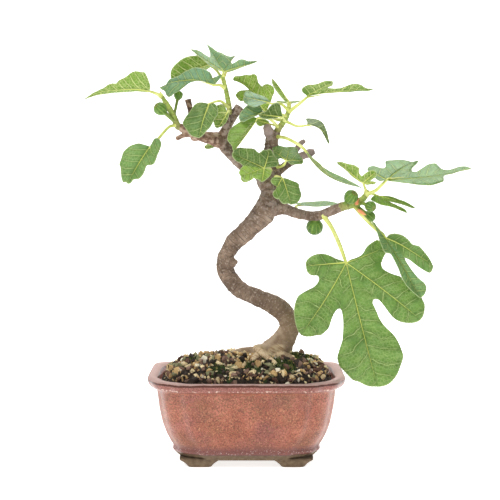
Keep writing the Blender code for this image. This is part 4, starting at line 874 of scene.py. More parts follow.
def build_soil_bed(finish):
    """The soil under the grains: the pot's inner outline stacked up its wall, then shrunk to the middle
    over the hill."""
    wall_heights = [SOIL_BOTTOM_Z, *(height for _, height in POT_INSIDE[5:1:-1]), SOIL_EDGE_Z - 1]
    wall = [np.column_stack([soil_outline(height), np.full(AROUND_POT, height)])
            for height in wall_heights]
    edge = soil_outline(SOIL_EDGE_Z)
    share = np.linspace(1.0, 0.02, 60)[:, None]
    x, y = edge[None, :, 0] * share, edge[None, :, 1] * share
    spots = np.stack([x, y, np.zeros_like(x)], axis=-1)
    rough = (1.1 * lumps(spots, 5.0, 6) - 4.2) * (1 - share**20)
    top = np.stack([x, y, soil_height(x, y, share) + rough], axis=-1)
    rings = np.concatenate([np.array(wall), top])
    moss = np.zeros(rings.shape[:2])
    moss[len(wall):] = moss_share(x, y)
    bed = Surface()
    middle = (0, 0, float(soil_height(0.0, 0.0, 0.0)) - 1.6)
    bed.grid(rings, values={"moss": moss}, closed=True, start=(0, 0, SOIL_BOTTOM_Z),
             end=middle)
    return bed.piece("soil_bed", [finish], ["soil"])


def icosahedron():
    """Corners and outward faces of the solid whose corners are (0, 1, g), (1, g, 0) and (g, 0, 1) with
    all their signs, g the golden ratio, scaled to radius 1."""
    golden = (1 + math.sqrt(5)) / 2
    corners = np.array([np.roll((0, s, t * golden), turn) for turn in range(3)
                        for s, t in itertools.product((-1, 1), repeat=2)])
    faces = []
    for trio in itertools.combinations(range(12), 3):
        a, b, c = corners[list(trio)]
        if max(np.linalg.norm(a - b), np.linalg.norm(b - c), np.linalg.norm(c - a)) < 2.1:
            faces.append(trio if np.linalg.det([a, b, c]) > 0 else trio[::-1])
    return unit(corners), np.array(faces)


def random_turns(draw, count):
    """Random rotation matrices, from random unit quaternions."""
    w, x, y, z = unit(draw.normal(size=(count, 4))).T
    return np.array([[1 - 2 * (y*y + z*z), 2 * (x*y - w*z), 2 * (x*z + w*y)],
                     [2 * (x*y + w*z), 1 - 2 * (x*x + z*z), 2 * (y*z - w*x)],
                     [2 * (x*z - w*y), 2 * (y*z + w*x), 1 - 2 * (x*x + y*y)]]).transpose(2, 0, 1)


def scattered_spots(draw, pitch, limit):
    """Jittered spots of a triangular grid inside the soil's edge, with their share of the way to it."""
    edge = soil_outline(SOIL_EDGE_Z)
    row_step = pitch * math.sqrt(3) / 2
    j, i = np.meshgrid(np.arange(-int(RIM_Y / row_step), int(RIM_Y / row_step) + 1),
                       np.arange(-int(RIM_X / pitch), int(RIM_X / pitch) + 1), indexing="ij")
    spots = np.stack([(i + 0.5 * (j % 2)) * pitch, j * row_step], axis=-1).reshape(-1, 2)
    spots = spots + draw.uniform(-0.42, 0.42, spots.shape) * pitch
    angle = np.arctan2(edge[:, 1], edge[:, 0])
    order = np.argsort(angle)
    reach = np.interp(np.arctan2(spots[:, 1], spots[:, 0]), angle[order],
                      np.linalg.norm(edge, axis=1)[order], period=2 * math.pi)
    share = np.linalg.norm(spots, axis=1) / reach
    return spots[share < limit], share[share < limit]


def build_grains(finish):
    """Crushed gravel: each grain an icosahedron with its corners drawn in or out at random, flattened
    and turned at random, sunk into the soil."""
    draw = np.random.default_rng(SEED)
    spots, share = scattered_spots(draw, GRAIN_PITCH, 0.965)
    edge = soil_outline(SOIL_EDGE_Z)
    near_wall = draw.uniform(0.84, 0.985, EXTRA_GRAINS)
    extra = edge[draw.integers(0, len(edge), EXTRA_GRAINS)] * near_wall[:, None]
    spots = np.vstack([spots, extra])
    share = np.concatenate([share, near_wall])
    bare = moss_share(spots[:, 0], spots[:, 1]) < draw.uniform(0.3, 1.3, len(spots))
    spots, share = spots[bare], share[bare]
    count = len(spots)
    corners, faces = icosahedron()
    size = np.clip(draw.lognormal(0.98, 0.42, count), 1.3, 5.2)
    size *= 1 - 0.3 * (share > 0.95)
    stretch = np.stack([np.ones(count), draw.uniform(0.45, 0.95, count),
                        draw.uniform(0.25, 0.65, count)], axis=-1)
    boxy = np.sign(corners) * np.abs(corners) ** 0.4
    shaped = boxy[None] * draw.uniform(0.5, 1.25, (count, 12, 1)) * (size[:, None] * stretch)[:, None]
    shaped = np.einsum("nij,nkj->nki", random_turns(draw, count), shaped)
    height = soil_height(spots[:, 0], spots[:, 1], share) + draw.uniform(-4.8, 0.0, count)
    height -= SINK_AT_WALL * share**3
    shaped += np.column_stack([spots, height])[:, None]
    grains = Surface()
    grains.scatter(shaped, faces, {"kind": draw.uniform(0, 1, count), "shade": draw.uniform(0, 1, count)})
    return grains.piece("gravel_grains", [finish], smooth=False)


def build_moss(finish):
    """Moss: thin three-sided spikes that lean at random, dense in the mossy patches."""
    draw = np.random.default_rng(SEED + 1)
    spots, share = scattered_spots(draw, MOSS_PITCH, 0.95)
    mossy = moss_share(spots[:, 0], spots[:, 1]) > draw.uniform(0.35, 1.0, len(spots))
    spots, share = spots[mossy], share[mossy]
    count = len(spots)
    angle = np.radians((0, 120, 240))[None] + draw.uniform(0, 6, count)[:, None]
    spikes = np.zeros((count, 4, 3))
    spikes[:, :3, 0] = 0.5 * np.cos(angle)
    spikes[:, :3, 1] = 0.5 * np.sin(angle)
    spikes[:, 3, :2] = draw.uniform(-1.1, 1.1, (count, 2))
    spikes[:, 3, 2] = draw.uniform(1.4, 4.0, count)
    height = soil_height(spots[:, 0], spots[:, 1], share) - 2.6 - SINK_AT_WALL * share**3
    spikes += np.column_stack([spots, height])[:, None]
    moss = Surface()
    faces = np.array([(0, 1, 3), (1, 2, 3), (2, 0, 3), (2, 1, 0)])
    moss.scatter(spikes, faces, {"shade": draw.uniform(0, 1, count)})
    return moss.piece("moss", [finish], smooth=False)


def bark(points, along, angle, radius):
    """What the bark adds to a limb's radius: lumps of three sizes and low rings where leaves were."""
    rings = np.clip(np.sin(2 * math.pi * along / 8.6 + 1.6 * lumps(points, 26.0, 11)), 0, 1) ** 4
    flutes = np.cos(5 * angle + 0.6) * np.exp(-np.clip(along - 46, 0, None) / 11) * (radius > 12.5)
    rough = 0.75 * lumps(points, 13.0, 12) + 0.42 * lumps(points, 5.0, 13) + 0.2 * lumps(points, 2.0, 14)
    return np.clip(radius / 7, 0.3, 1.2) * (rough + 0.4 * rings) + 1.3 * flutes


def flared(rows, reach):
    """Limb rows whose radius grows towards the parent: r * (1 + 0.45 exp(-d / r)) past its bark."""
    rows, along = evenly(smooth_path(rows, 6), 1.2)
    outside = np.clip(along - reach, 0, None)
    rows[:, 3] *= 1 + 0.45 * np.exp(-outside / rows[0, 3])
    return rows


def build_trunk(finish):
    wood = Surface()
    limb(wood, smooth_path(TRUNK, 8), 60, 1.3, bark, (0.3, 0.5))
    for name, points in LIMBS.items():
        cut = 0.15 if "stump" in name or "stub" in name else 0.6
        cut = 1.0 if "root" in name or "round" in name or "knob" in name else cut
        reach = 8.0 if points[0][3] > 5.5 else 4.0
        limb(wood, flared(points, reach), 30, 1.1, bark, (0.5, cut))
    return wood.piece("trunk_bark", [finish], ["trunk"])


def shoot_course(name):
    """A shoot's rows, from just inside the wood that it continues to its tip."""
    wood, onward = SHOOTS[name]
    rows = smooth_path(LIMBS[wood], 6)
    out = unit(rows[-1, :3] - rows[-2, :3])
    starts = [[*(rows[-1, :3] + out * further), rows[-1, 3]] for further in (-1.5, 3.3)]
    return smooth_path(starts + list(onward), 8)


def nodes_of_shoot(points, along, _, radius):
    """Low rings every few millimetres, where the shoot's leaves grew, and a little unevenness."""
    ring = np.exp(-((along % 6.8 - 3.4) / 0.8) ** 2)
    return 0.32 * ring * np.clip(radius / 3, 0.5, 1.3) + 0.12 * lumps(points, 3.0, 21)


def build_shoots(finish):
    for name in SHOOTS:
        shoot = Surface()
        limb(shoot, shoot_course(name), 26, 0.7, nodes_of_shoot, (0.3, 1.0))
        shoot.piece(name + "_bark", [finish], [name])


def stem_course(name):
    if name == "trunk":
        return smooth_path(TRUNK, 8)
    return shoot_course(name) if name in SHOOTS else smooth_path(LIMBS[name], 8)


def off_stem(stem, start, onward):
    """Where a stalk starts: just under the stem's surface, on the side towards its next point."""
    rows = stem_course(stem)
    nearest = rows[np.argmin(np.linalg.norm(rows[:, :3] - np.array(start), axis=1))]
    out = unit(np.array(onward) - nearest[:3])
    return nearest[:3] + out * 0.55 * nearest[3], out


def build_fig(name, finish):
    """A fig turned round its stalk: its section smoothed, with low ribs, r * (1 + c cos 12a), that die
    out at the eye and down the stalk."""
    start, middle, diameter, stem = FIGS[name]
    start, _ = off_stem(stem, start, middle)
    middle = np.array(middle, dtype=float)
    axis = middle - start
    reach = np.linalg.norm(axis)
    neck = min(1.0, (reach - 2.0) / (-FIG_SECTION[-1][1] * diameter))
    section = [(r * diameter, 0.0, h * diameter * (neck if h < 0 else 1.0)) for r, h in FIG_SECTION]
    section += [(max(1.6, 0.17 * diameter), 0.0, -reach + 2.0), (2.4, 0.0, -reach)]
    section = evenly(smooth_path(section[::-1], 6), 0.35)[0]
    ahead, beside, above = course_frames(np.stack([start, middle]))
    angle = np.linspace(0, 2 * math.pi, 72, endpoint=False)
    radius, height = section[:-1, 0][:, None], section[:-1, 2][:, None]
    belly = np.clip(1 - (height / (0.5 * diameter)) ** 2, 0, 1)
    radius = radius * (1 + 0.028 * belly * np.cos(12 * angle)[None])
    spokes = np.cos(angle)[:, None] * beside[0] + np.sin(angle)[:, None] * above[0]
    points = middle + height[..., None] * ahead[0] + radius[..., None] * spokes[None]
    points = points + (0.12 * lumps(points, 3.0, 31))[..., None] * spokes[None]
    around = np.linspace(0, 1, 73)[None]
    up = np.broadcast_to(height / diameter + 0.5, (len(points), 73))
    course = np.stack([np.broadcast_to(around, up.shape), up], axis=-1)
    eye = middle + FIG_SECTION[1][1] * diameter * ahead[0]
    fig = Surface()
    fig.grid(points, {"course": course}, closed=True, start=start, end=eye)
    return fig.piece(name + "_fruit", [finish], [name])


def leaf_frame(forward, face):
    """Right, forward and up directions of a leaf."""
    ahead = unit(forward)
    up = unit(np.array(face) - ahead * float(np.dot(face, ahead)))
    return np.cross(ahead, up), ahead, up


def bent(flat, length, bend, fold, arch, relief):
    """A flat blade in mm, raised by its relief, arched across, folded along the middle vein and bent
    along it: x to an arc, the halves turned up by the fold, y to an arc."""
    x, y = flat[..., 0], flat[..., 1]
    curve_across = math.radians(max(abs(arch), 0.01)) / (0.5 * length)
    reach = np.abs(x)
    out = np.sin(curve_across * reach) / curve_across
    drop = -(1 - np.cos(curve_across * reach)) / curve_across * np.sign(arch or 1)
    lift = math.radians(fold)
    side = (out * math.cos(lift) - drop * math.sin(lift)) * np.sign(x)
    up = out * math.sin(lift) + drop * math.cos(lift) + relief
    radius = length / math.radians(bend if abs(bend) > 0.01 else 0.01)
    ahead = (radius + up) * np.sin(y / radius)
    return np.stack([side, ahead, (radius + up) * np.cos(y / radius) - radius], axis=-1)


def on_leaf(name, flat, relief=0.0):
    """Where spots of a leaf's flat blade, in mm, lie once it is bent and set on its petiole."""
    _, length, _, course, forward, face, angles = LEAVES[name]
    return course[-1] + bent(flat, length, *angles, relief) @ np.stack(leaf_frame(forward, face))


def in_photo(points):
    """The pixels, right and down, at which the camera sees points in mm."""
    off = points - np.array(CAMERA_AT)
    turn = math.radians(CAMERA_PITCH)
    depth = off[..., 1] * math.cos(turn) - off[..., 2] * math.sin(turn)
    down = -off[..., 1] * math.sin(turn) - off[..., 2] * math.cos(turn)
    return PHOTO_SIZE / 2 + PHOTO_LENS * np.stack([off[..., 0], down], axis=-1) / depth[..., None]


def flat_spots(name, pixels, spot):
    """The spots of a flat blade, in mm, that show at pixels of the photo. Each is found by damped
    Newton steps from nine starts round the spot before it, and of those that fit the nearest wins."""
    pushes = PUSH * np.eye(2)
    found = []
    for pixel in pixels:
        tries = spot + np.array(STARTS)
        for _ in range(MOST_STEPS):
            miss = in_photo(on_leaf(name, tries)) - pixel
            slopes = np.stack([(in_photo(on_leaf(name, tries + push))
                                - in_photo(on_leaf(name, tries - push))) / (2 * PUSH)
                               for push in pushes], axis=-1)
            turned = slopes.transpose(0, 2, 1)
            steps = np.linalg.solve(turned @ slopes + DAMPING * np.eye(2), turned @ miss[..., None])
            size = np.linalg.norm(steps[..., 0], axis=1, keepdims=True)
            tries = tries - steps[..., 0] * np.minimum(1, LONGEST_STEP / (size + 1e-9))
            if size.max() < LAST_STEP:
                break
        miss = np.linalg.norm(in_photo(on_leaf(name, tries)) - pixel, axis=1)
        spot = tries[np.argmin(10 * miss + 0.05 * np.linalg.norm(tries - spot, axis=1))]
        found.append(spot)
    return found


def drawn_lobes(name):
    """A leaf drawn over the photo: for each lobe its vein's tip and control point and the margins on
    its two sides, each from the notch or the foot to the tip, in lengths of the leaf."""
    length = LEAVES[name][1]
    foot = np.zeros(2)
    spot = start = foot
    lobes = []
    for number, (tip, control, before, after) in enumerate(OUTLINES[name], 1):
        spots = flat_spots(name, [*before, tip, *after] + ([control] if control else []), spot)
        spot = spots[-1]
        tip = spots[len(before)]
        control = spot if control else tip / 2
        margin = spots[:len(before) + 1 + len(after)]
        ends = [foot] if number == len(OUTLINES[name]) else []
        sides = [smooth_path(np.round(rows, 1), 5) / length
                 for rows in ([start, *margin[:len(before) + 1]], [*margin[len(before):], *ends])]
        lobes.append((np.round(tip, 1) / length, np.round(control, 1) / length, sides[0],
                      sides[1][::-1]))
        start = margin[-1]
    return lobes


def plain_lobe(shape):
    """A plain leaf's one lobe, in the same form: from the foot a cubic to the widest place, then a
    quarter of an ellipse to the tip."""
    neck, widest, widest_at = PLAIN_SHAPES[shape]
    share = np.linspace(0, 1, 31)[:-1]
    weights = np.column_stack([(1 - share)**3, 3 * share * (1 - share)**2, 3 * share**2 * (1 - share),
                               share**3])
    turn = np.linspace(0, math.pi / 2, 31)
    out = np.concatenate([weights @ (0, neck, widest, widest), widest * np.cos(turn)])
    ahead = np.concatenate([weights @ (0, -0.10, 0.35 * widest_at, widest_at),
                            widest_at + (1 - widest_at) * np.sin(turn)])
    tip = np.array([0.0, 1.0])
    return [(tip, tip / 2, *(np.column_stack([side * out, ahead]) for side in (-1, 1)))]


def scalloped(vein, margin, length, seed):
    """The margin moved off its vein by scallops, |sin|, and by slower waves, none at its two ends."""
    arc = np.concatenate([[0], np.cumsum(np.linalg.norm(np.diff(margin, axis=0), axis=1))]) * length
    pitch = min(TOOTH[0], length / 16)
    depth = TOOTH[1] * pitch / TOOTH[0]
    window = np.sin(math.pi * arc / arc[-1]).clip(0) ** 0.35
    spots = np.stack([arc, np.full_like(arc, 40.0 * seed), np.zeros_like(arc)], axis=-1)
    moved = depth * (np.abs(np.sin(math.pi * arc / pitch)) - 0.64)
    moved = moved + WAVE[1] * min(1.0, length / 60) * lumps(spots, WAVE[0] * min(1.0, length / 60), 51)
    away = margin - vein
    away = away / np.maximum(np.linalg.norm(away, axis=1, keepdims=True), 1e-6)
    return margin + away * (moved * window / length)[:, None]


def half_lobe(name, number, side, tip, control, margin):
    """Half a lobe: a grid whose rows run from the lobe's vein to its scalloped margin, with quilting
    between the side veins, a groove over the main vein and a rippled edge. Gives its points and maps."""
    length = LEAVES[name][1]
    seed = sum(map(ord, name))
    across, pitch = (12, 1.0) if length > BIG_LEAF else (7, 1.25)
    axis = unit(tip)
    arc = np.linalg.norm(np.diff(margin, axis=0), axis=1).sum() * length
    rows = np.column_stack([margin, np.zeros(len(margin))])
    margin = evenly(rows, arc / length / max(int(arc / pitch), 10))[0][:, :2]
    share = np.linspace(0, 1, len(margin))
    reach = share[:, None] * VEIN_SPAN
    vein = 2 * reach * (1 - reach) * control + reach**2 * tip
    margin = scalloped(vein, margin, length, seed + 7 * number + side)
    t = np.linspace(0, 1, across + 1)[None] ** 1.15
    flat = vein[:, None] * (1 - t[..., None]) + margin[:, None] * t[..., None]
    half = np.linalg.norm(margin - vein, axis=1)[:, None] * length
    u = flat @ axis * length
    v = np.abs(flat @ np.array([axis[1], -axis[0]])) * length
    phase = (u - 0.66 * v + 0.008 * v**2) / vein_spacing(length) + (0.5 if side > 0 else 0.0)
    window = np.sqrt(np.clip(4 * share * (1 - share), 0, 1))[:, None]
    between = np.sin(math.pi * np.abs(phase % 1.0 - 0.5)) ** 2
    spots = np.concatenate([flat * length, np.zeros(flat.shape[:2] + (1,))], axis=-1)
    relief = 0.09 * length**0.5 * between * window * np.clip(3 * t * (1 - t), 0, 1)
    relief = relief - 0.25 * np.exp(-(t * half / 2.2)**2) * window
    relief = relief + min(length / 60, 1.4) * (1.5 * t**3 * lumps(spots, 16.0, seed)
                                               + 1.3 * lumps(spots, 26.0, seed + 1))
    grids = [on_leaf(name, flat * length, relief),
             np.stack([phase, np.broadcast_to(t, flat.shape[:2])], axis=-1),
             np.stack([t * half, np.broadcast_to(share[:, None], flat.shape[:2])], axis=-1)]
    points, veins, measure = (grid[:, ::-1] for grid in grids) if side < 0 else grids
    return points, {"veins": veins, "measure": measure}


def vein_spacing(length):
    return max(7.5, 0.11 * length)


def build_leaf(name, finishes):
    """A blade of lobes, thickened evenly, with its upper and its lower face."""
    shape, length = LEAVES[name][:2]
    lobes = drawn_lobes(name) if shape == "drawn" else plain_lobe(shape)
    tones, painted_shades = np.atleast_1d(LEAF_TONES[name]), np.atleast_1d(LEAF_PAINTED_SHADE.get(name, 0.0))
    blade = Surface()
    for number, (tip, control, *margins) in enumerate(lobes):
        # The depth value is the painted shade of the lobe.
        values = {"spacing": vein_spacing(length), "width": 0.8 + 0.003 * length,
                  "tone": tones[number % len(tones)], "depth": painted_shades[number % len(painted_shades)]}
        for side, margin in zip((-1, 1), margins):
            points, maps = half_lobe(name, number, side, tip, control, margin)
            blade.grid(points, maps, values)
    made = blade.piece(name + "_blade", finishes, [name], merge=True)
    solid = made.modifiers.new("thickness", "SOLIDIFY")
    solid.thickness = BLADE_THICK * MM
    solid.offset = 0.0
    solid.material_offset = 1
    return made


def build_petioles(finish):
    """The leaves' stalks: each swells where it leaves its stem and runs on under the blade as the
    start of the middle vein."""
    stalks = Surface()
    for _, length, stem, course, forward, face, (bend, _, _) in LEAVES.values():
        _, ahead, up = leaf_frame(forward, face)
        start, out = off_stem(stem, course[0], course[1])
        foot = np.array(course[-1], dtype=float)
        radius = math.radians(bend if abs(bend) > 0.01 else 0.01)
        under = []
        for share, thick in ((0.0, 0.95), (0.05, 0.7), (0.12, 0.5), (0.22, 0.3)):
            turn = share * radius
            along = length / radius * math.sin(turn)
            lift = length / radius * (math.cos(turn) - 1) - 0.35
            under.append([*(foot + ahead * along + up * lift), thick * PETIOLE_RADIUS[1]])
        rows = [[*start, PETIOLE_RADIUS[0] * 1.5], [*(start + out * 2.6), PETIOLE_RADIUS[0]]]
        rows += [[*point, np.mean(PETIOLE_RADIUS)] for point in course[1:-1]] + under
        rows = np.array(rows) * (1, 1, 1, 0.75 + 0.006 * length)
        limb(stalks, smooth_path(rows, 6), 14, 1.1, None, (0.3, 0.6))
    return stalks.piece("petioles", [finish])


def build_buds(finish):
    """Stipules and buds: pointed sheaths whose radius is sin of the way along, to a fine tip."""
    buds = Surface()
    for start, tip, thick in BUDS:
        share = np.linspace(0, 1, 9)[:, None]
        path = np.array(start) * (1 - share) + np.array(tip) * share
        radius = thick * np.sin(math.pi * (0.25 + 0.74 * share[:, 0])) + 0.12
        limb(buds, np.column_stack([path, radius]), 16, 0.6, None, (0.4, 0.8))
    return buds.piece("stipules", [finish])


def finish_screens(finish):
    """The drainage screens keep their solids and get a moulded mesh finish."""
    for name in ("screen_left", "screen_right"):
        frame["nodes"][name].data.materials.clear()
        frame["nodes"][name].data.materials.append(finish)


class Value:
    """A value inside a finish. Sums, products and the like of it become Math nodes."""

    def __init__(self, finish, socket):
        self.finish = finish
        self.socket = socket

    def math(self, operation, *others):
        return self.finish.math(operation, self, *others)

    def __add__(self, other):
        return self.math("ADD", other)

    def __mul__(self, other):
        return self.math("MULTIPLY", other)

    def __sub__(self, other):
        return self.math("SUBTRACT", other)

    def __rsub__(self, other):
        return self.finish.math("SUBTRACT", other, self)

    def __truediv__(self, other):
        return self.math("DIVIDE", other)

    def __pow__(self, other):
        return self.math("POWER", other)

    def __abs__(self):
        return self.math("ABSOLUTE")

    __radd__ = __add__
    __rmul__ = __mul__

    def fract(self):
        return self.math("FRACT")

    def step(self, low, high):
        """0 below low, 1 above high and a smooth rise between; high below low makes it fall."""
        if high < low:
            return 1 - self.step(high, low)
        sockets = {"Value": self, "From Min": low, "From Max": high}
        return self.finish.node("MapRange", {"interpolation_type": "SMOOTHSTEP"}, sockets)


def shade(code):
    """A #RRGGBB colour as the renderer's linear RGBA."""
    parts = np.array([int(code[i:i + 2], 16) for i in (1, 3, 5)]) / 255
    linear = np.where(parts <= 0.04045, parts / 12.92, ((parts + 0.055) / 1.055) ** 2.4)
    return (*linear, 1.0)


class Finish:
    """A material being built. Sizes are in mm on the object's own coordinates."""

    def __init__(self, name):
        self.material = bpy.data.materials.new(name)
        self.material.use_nodes = True
        self.tree = self.material.node_tree
        self.tree.nodes.clear()
        self.place = self.node("TexCoord", output="Object")

    def node(self, kind, settings=None, sockets=None, output=0):
        """Adds a node, sets its settings, feeds its sockets and returns one of its outputs."""
        made = self.tree.nodes.new("ShaderNode" + kind)
        for name, value in (settings or {}).items():
            setattr(made, name, value)
        for key, value in (sockets or {}).items():
            if isinstance(value, Value):
                self.tree.links.new(value.socket, made.inputs[key])
            elif isinstance(value, str):
                made.inputs[key].default_value = shade(value)
            else:
                made.inputs[key].default_value = value
        return Value(self, made.outputs[output])

    def math(self, operation, *values):
        return self.node("Math", {"operation": operation}, dict(enumerate(values)))

    def blend(self, share, low, high, mode="MIX"):
        """Colour low at share 0 and high at share 1."""
        settings = {"data_type": "RGBA", "blend_type": mode}
        return self.node("Mix", settings, {0: share, 6: low, 7: high}, 2)

    def scaled(self, factors, place=None, shift=(0, 0, 0)):
        """The place in mm, multiplied along each axis and shifted."""
        sockets = {0: place or self.place, 1: factors, 2: shift}
        return self.node("VectorMath", {"operation": "MULTIPLY_ADD"}, sockets)

    def noise(self, size, detail=2.0, stretch=(1, 1, 1), place=None, shift=0.0, unit_of=1000.0):
        """Smooth noise round 0.5, with lumps of about that size."""
        factors = tuple(unit_of / size / part for part in stretch)
        spot = self.scaled(factors, place, (shift, shift, shift))
        return self.node("TexNoise", {}, {"Vector": spot, "Scale": 1.0, "Detail": detail}, "Fac")

    def cells(self, size, stretch=(1, 1, 1), place=None, feature="F1", unit_of=1000.0, shift=0.0):
        """Distance to the nearest scattered point or to the cell's edge, in cells of that size."""
        factors = tuple(unit_of / size / part for part in stretch)
        spot = self.scaled(factors, place, (shift, shift, shift))
        return self.node("TexVoronoi", {"feature": feature}, {"Vector": spot, "Scale": 1.0}, "Distance")

    def along_axis(self, axis, origin):
        """The place along an axis in mm, where origin is the pot's own zero in the object's mm."""
        return self.node("SeparateXYZ", {}, {0: self.place}, axis) * 1000.0 - origin

    def across(self):
        """The place along the pot's long side, more to the right."""
        return self.along_axis(0, float(POT_MIDDLE[0]) / MM)

    def depth(self):
        """The place along the pot's short side, more to the back."""
        return self.along_axis(1, float(POT_MIDDLE[1]) / MM)

    def height(self):
        return self.along_axis(2, -SOLE_Z)

    def pair(self, name):
        """The two values of one of the piece's UV maps, and the map as a vector."""
        chart = self.node("UVMap", {"uv_map": name})
        return [self.node("SeparateXYZ", {}, {0: chart}, part) for part in (0, 1)] + [chart]

    def layers(self, colour, *rows):
        """A colour with others laid over it, each by its share, its colour and perhaps its mode."""
        for share, over, *mode in rows:
            colour = self.blend(share, colour, over, *mode)
        return colour

    def reading(self, name):
        return self.node("Attribute", {"attribute_name": name}, output="Fac")

    def ramp(self, value, stops, interpolation="LINEAR"):
        """A colour for each value, between (value, colour) stops."""
        result = self.node("ValToRGB", {}, {0: value})
        band = result.socket.node.color_ramp
        band.interpolation = interpolation
        while len(band.elements) < len(stops):
            band.elements.new(0.5)
        for element, (position, code) in zip(band.elements, stops):
            element.position = position
            element.color = shade(code)
        return result

    def close(self, colour, roughness, relief=None, **uniform):
        """The surface: relief is a height in mm, and uniform values go on the shader's sockets."""
        sockets = {"Base Color": colour, "Roughness": roughness}
        sockets.update({name.replace("_", " "): value for name, value in uniform.items()})
        if relief is not None:
            sockets["Normal"] = self.node("Bump", {}, {"Strength": 1.0, "Distance": MM,
                                                       "Height": relief})
        return self.node("BsdfPrincipled", {}, sockets)

    def done(self, surface):
        out = self.tree.nodes.new("ShaderNodeOutputMaterial")
        self.tree.links.new(surface.socket, out.inputs["Surface"])
        return self.material


def glaze_body(make, cream):
    """Salmon with mauve, rusty and olive clouds and cream, brown and dark speckles, duller low down."""
    mauve = make.noise(34.0, 2.0, shift=7.0).step(0.48, 0.68)
    rust = make.noise(30.0, 2.0, shift=14.0).step(0.5, 0.66)
    brown = make.cells(1.9, shift=4.0).step(0.5, 0.2) * make.noise(12.0, 3.0, shift=9.0).step(0.25, 0.5)
    olive = make.cells(1.9, shift=8.0).step(0.46, 0.24)
    olive = olive * make.noise(24.0, 3.0, shift=12.0).step(0.4, 0.62)
    pepper = make.noise(1.7, 4.0, shift=19.0).step(0.5, 0.6)
    pepper = pepper * make.noise(20.0, 3.0, shift=27.0).step(0.2, 0.55)
    pale = make.noise(1.7, 4.0, shift=25.0).step(0.57, 0.67)
    return make.layers(
        make.ramp(make.noise(22.0, 3.0), ((0.32, "#94503A"), (0.5, "#A85E48"), (0.68, "#B86E58"))),
        (mauve * 0.4, "#86505A"), (rust * 0.4, "#7C5232"), (cream * 0.45, "#D09C6C"),
        (brown * 0.62, "#60301F"), (olive * 0.6, "#675530"), (pepper * 0.62, "#5C3424"),
        (make.height().step(46.0, 16.0) * 0.3, "#74402E"), (pale * 0.3, "#E0A67C"))


def glaze_bands(make, colour, height, fine):
    """What runs round the pot: the dull base with its salt and a painted shadow line along its lowest
    edge, the speckled rim with a row of light dots, the line under it and the dark edge at its top."""
    salt = make.cells(1.7, shift=2.0).step(0.36, 0.2) * make.noise(6.0, shift=33.0).step(0.4, 0.55)
    dots = height.step(78.8, 79.8) * height.step(81.8, 80.6)
    dots = dots * make.noise(2.4, 3.0, shift=5.0).step(0.5, 0.62)
    dots = dots * make.noise(14.0, shift=15.0).step(0.36, 0.56)
    line = height.step(77.4, 78.0) * height.step(79.2, 78.5)
    edge = height.step(84.6, 85.4) * height.step(87.3, 86.4)
    # The dark band from 10.6 to 11.6 mm high is a painted shadow line along the pot's lowest edge.
    return make.layers(
        colour, (height.step(22.0, 14.0) * 0.7, "#6E4242"),
        (height.step(18.0, 14.0) * salt * 0.6, "#D8C0B8"), (height.step(11.6, 10.6) * 0.8, "#4E3226"),
        (height.step(78.4, 79.4) * 0.8, make.blend(fine.step(0.35, 0.65), "#683630", "#A26A60")),
        (dots * 0.75, "#E6CFBC"), (line * 0.7, "#5A3228"), (edge * 0.85, "#43261C"))


def glaze():
    """Salmon glaze with fine speckles, its bands, a pale rim top and bare feet."""
    make = Finish("salmon_glaze")
    height = make.height() + (make.noise(7.0) - 0.5) * 1.3
    fine = make.noise(1.1, 3.0)
    cream = make.cells(1.5).step(0.46, 0.2) * make.noise(16.0, 4.0, shift=3.0).step(0.3, 0.62)
    top = height.step(86.7, 87.4)
    bare = (make.height() + (fine - 0.5) * 1.2).step(10.4, 9.6)
    clay = make.ramp(make.noise(4.0, 4.0), ((0.3, "#5E4C3A"), (0.7, "#7A6852")))
    colour = make.layers(glaze_bands(make, glaze_body(make, cream), height, fine),
                         (top, make.blend(fine, "#A07C76", "#C2A8A0")), (bare, clay))
    roughness = 0.36 + bare * 0.45 + (fine - 0.5) * 0.12 + top * 0.3
    relief = make.noise(3.4, 3.0) * 0.22 + make.noise(14.0) * 0.9 + cream * 0.05
    coat = 0.3 * (1 - bare) * (1 - top)
    shine = {"Coat_Weight": coat, "Coat_Roughness": 0.2, "Specular_IOR_Level": 0.3}
    return make.done(make.close(colour, roughness, relief, **shine))


def soil_and_gap_shade():
    make = Finish("soil_with_gap_shade")
    moss = make.reading("moss")
    # Dark soil, its ramp darkened further to paint the shade in the gaps between the grains.
    soil = make.ramp(make.noise(3.0, 4.0), ((0.3, "#120D0A"), (0.55, "#2C221A"), (0.75, "#5A4836")))
    green = make.ramp(make.noise(2.0, 3.0, shift=4.0), ((0.35, "#1A260E"), (0.65, "#38481E")))
    colour = make.blend((moss + (make.noise(4.0) - 0.5) * 0.6).step(0.3, 0.55), soil, green)
    return make.done(make.close(colour, 0.95, make.noise(1.4, 4.0) * 0.8))


def grit():
    """Grains of six kinds of stone."""
    make = Finish("crushed_grit")
    kinds = ((0.0, "#F4E0B0"), (0.18, "#D8B67E"), (0.36, "#8E7262"), (0.5, "#8A8A66"), (0.6, "#30261F"),
             (0.79, "#FFF8E0"), (0.86, "#6A4C3C"))
    colour = make.ramp(make.reading("kind"), kinds, "CONSTANT")
    colour = make.blend(make.reading("shade") ** 2 * 0.5, colour, "#7A644E", "MULTIPLY")
    colour = make.blend(make.noise(1.3, 4.0).step(0.4, 0.75) * 0.35, colour, "#4A3A2C")
    return make.done(make.close(colour, 0.9, make.noise(0.8, 3.0) * 0.35))


def moss_green():
    make = Finish("moss_green")
    colour = make.ramp(make.reading("shade"), ((0.0, "#1E2C12"), (0.6, "#32461C"), (1.0, "#808A44")))
    return make.done(make.close(colour, 0.9))


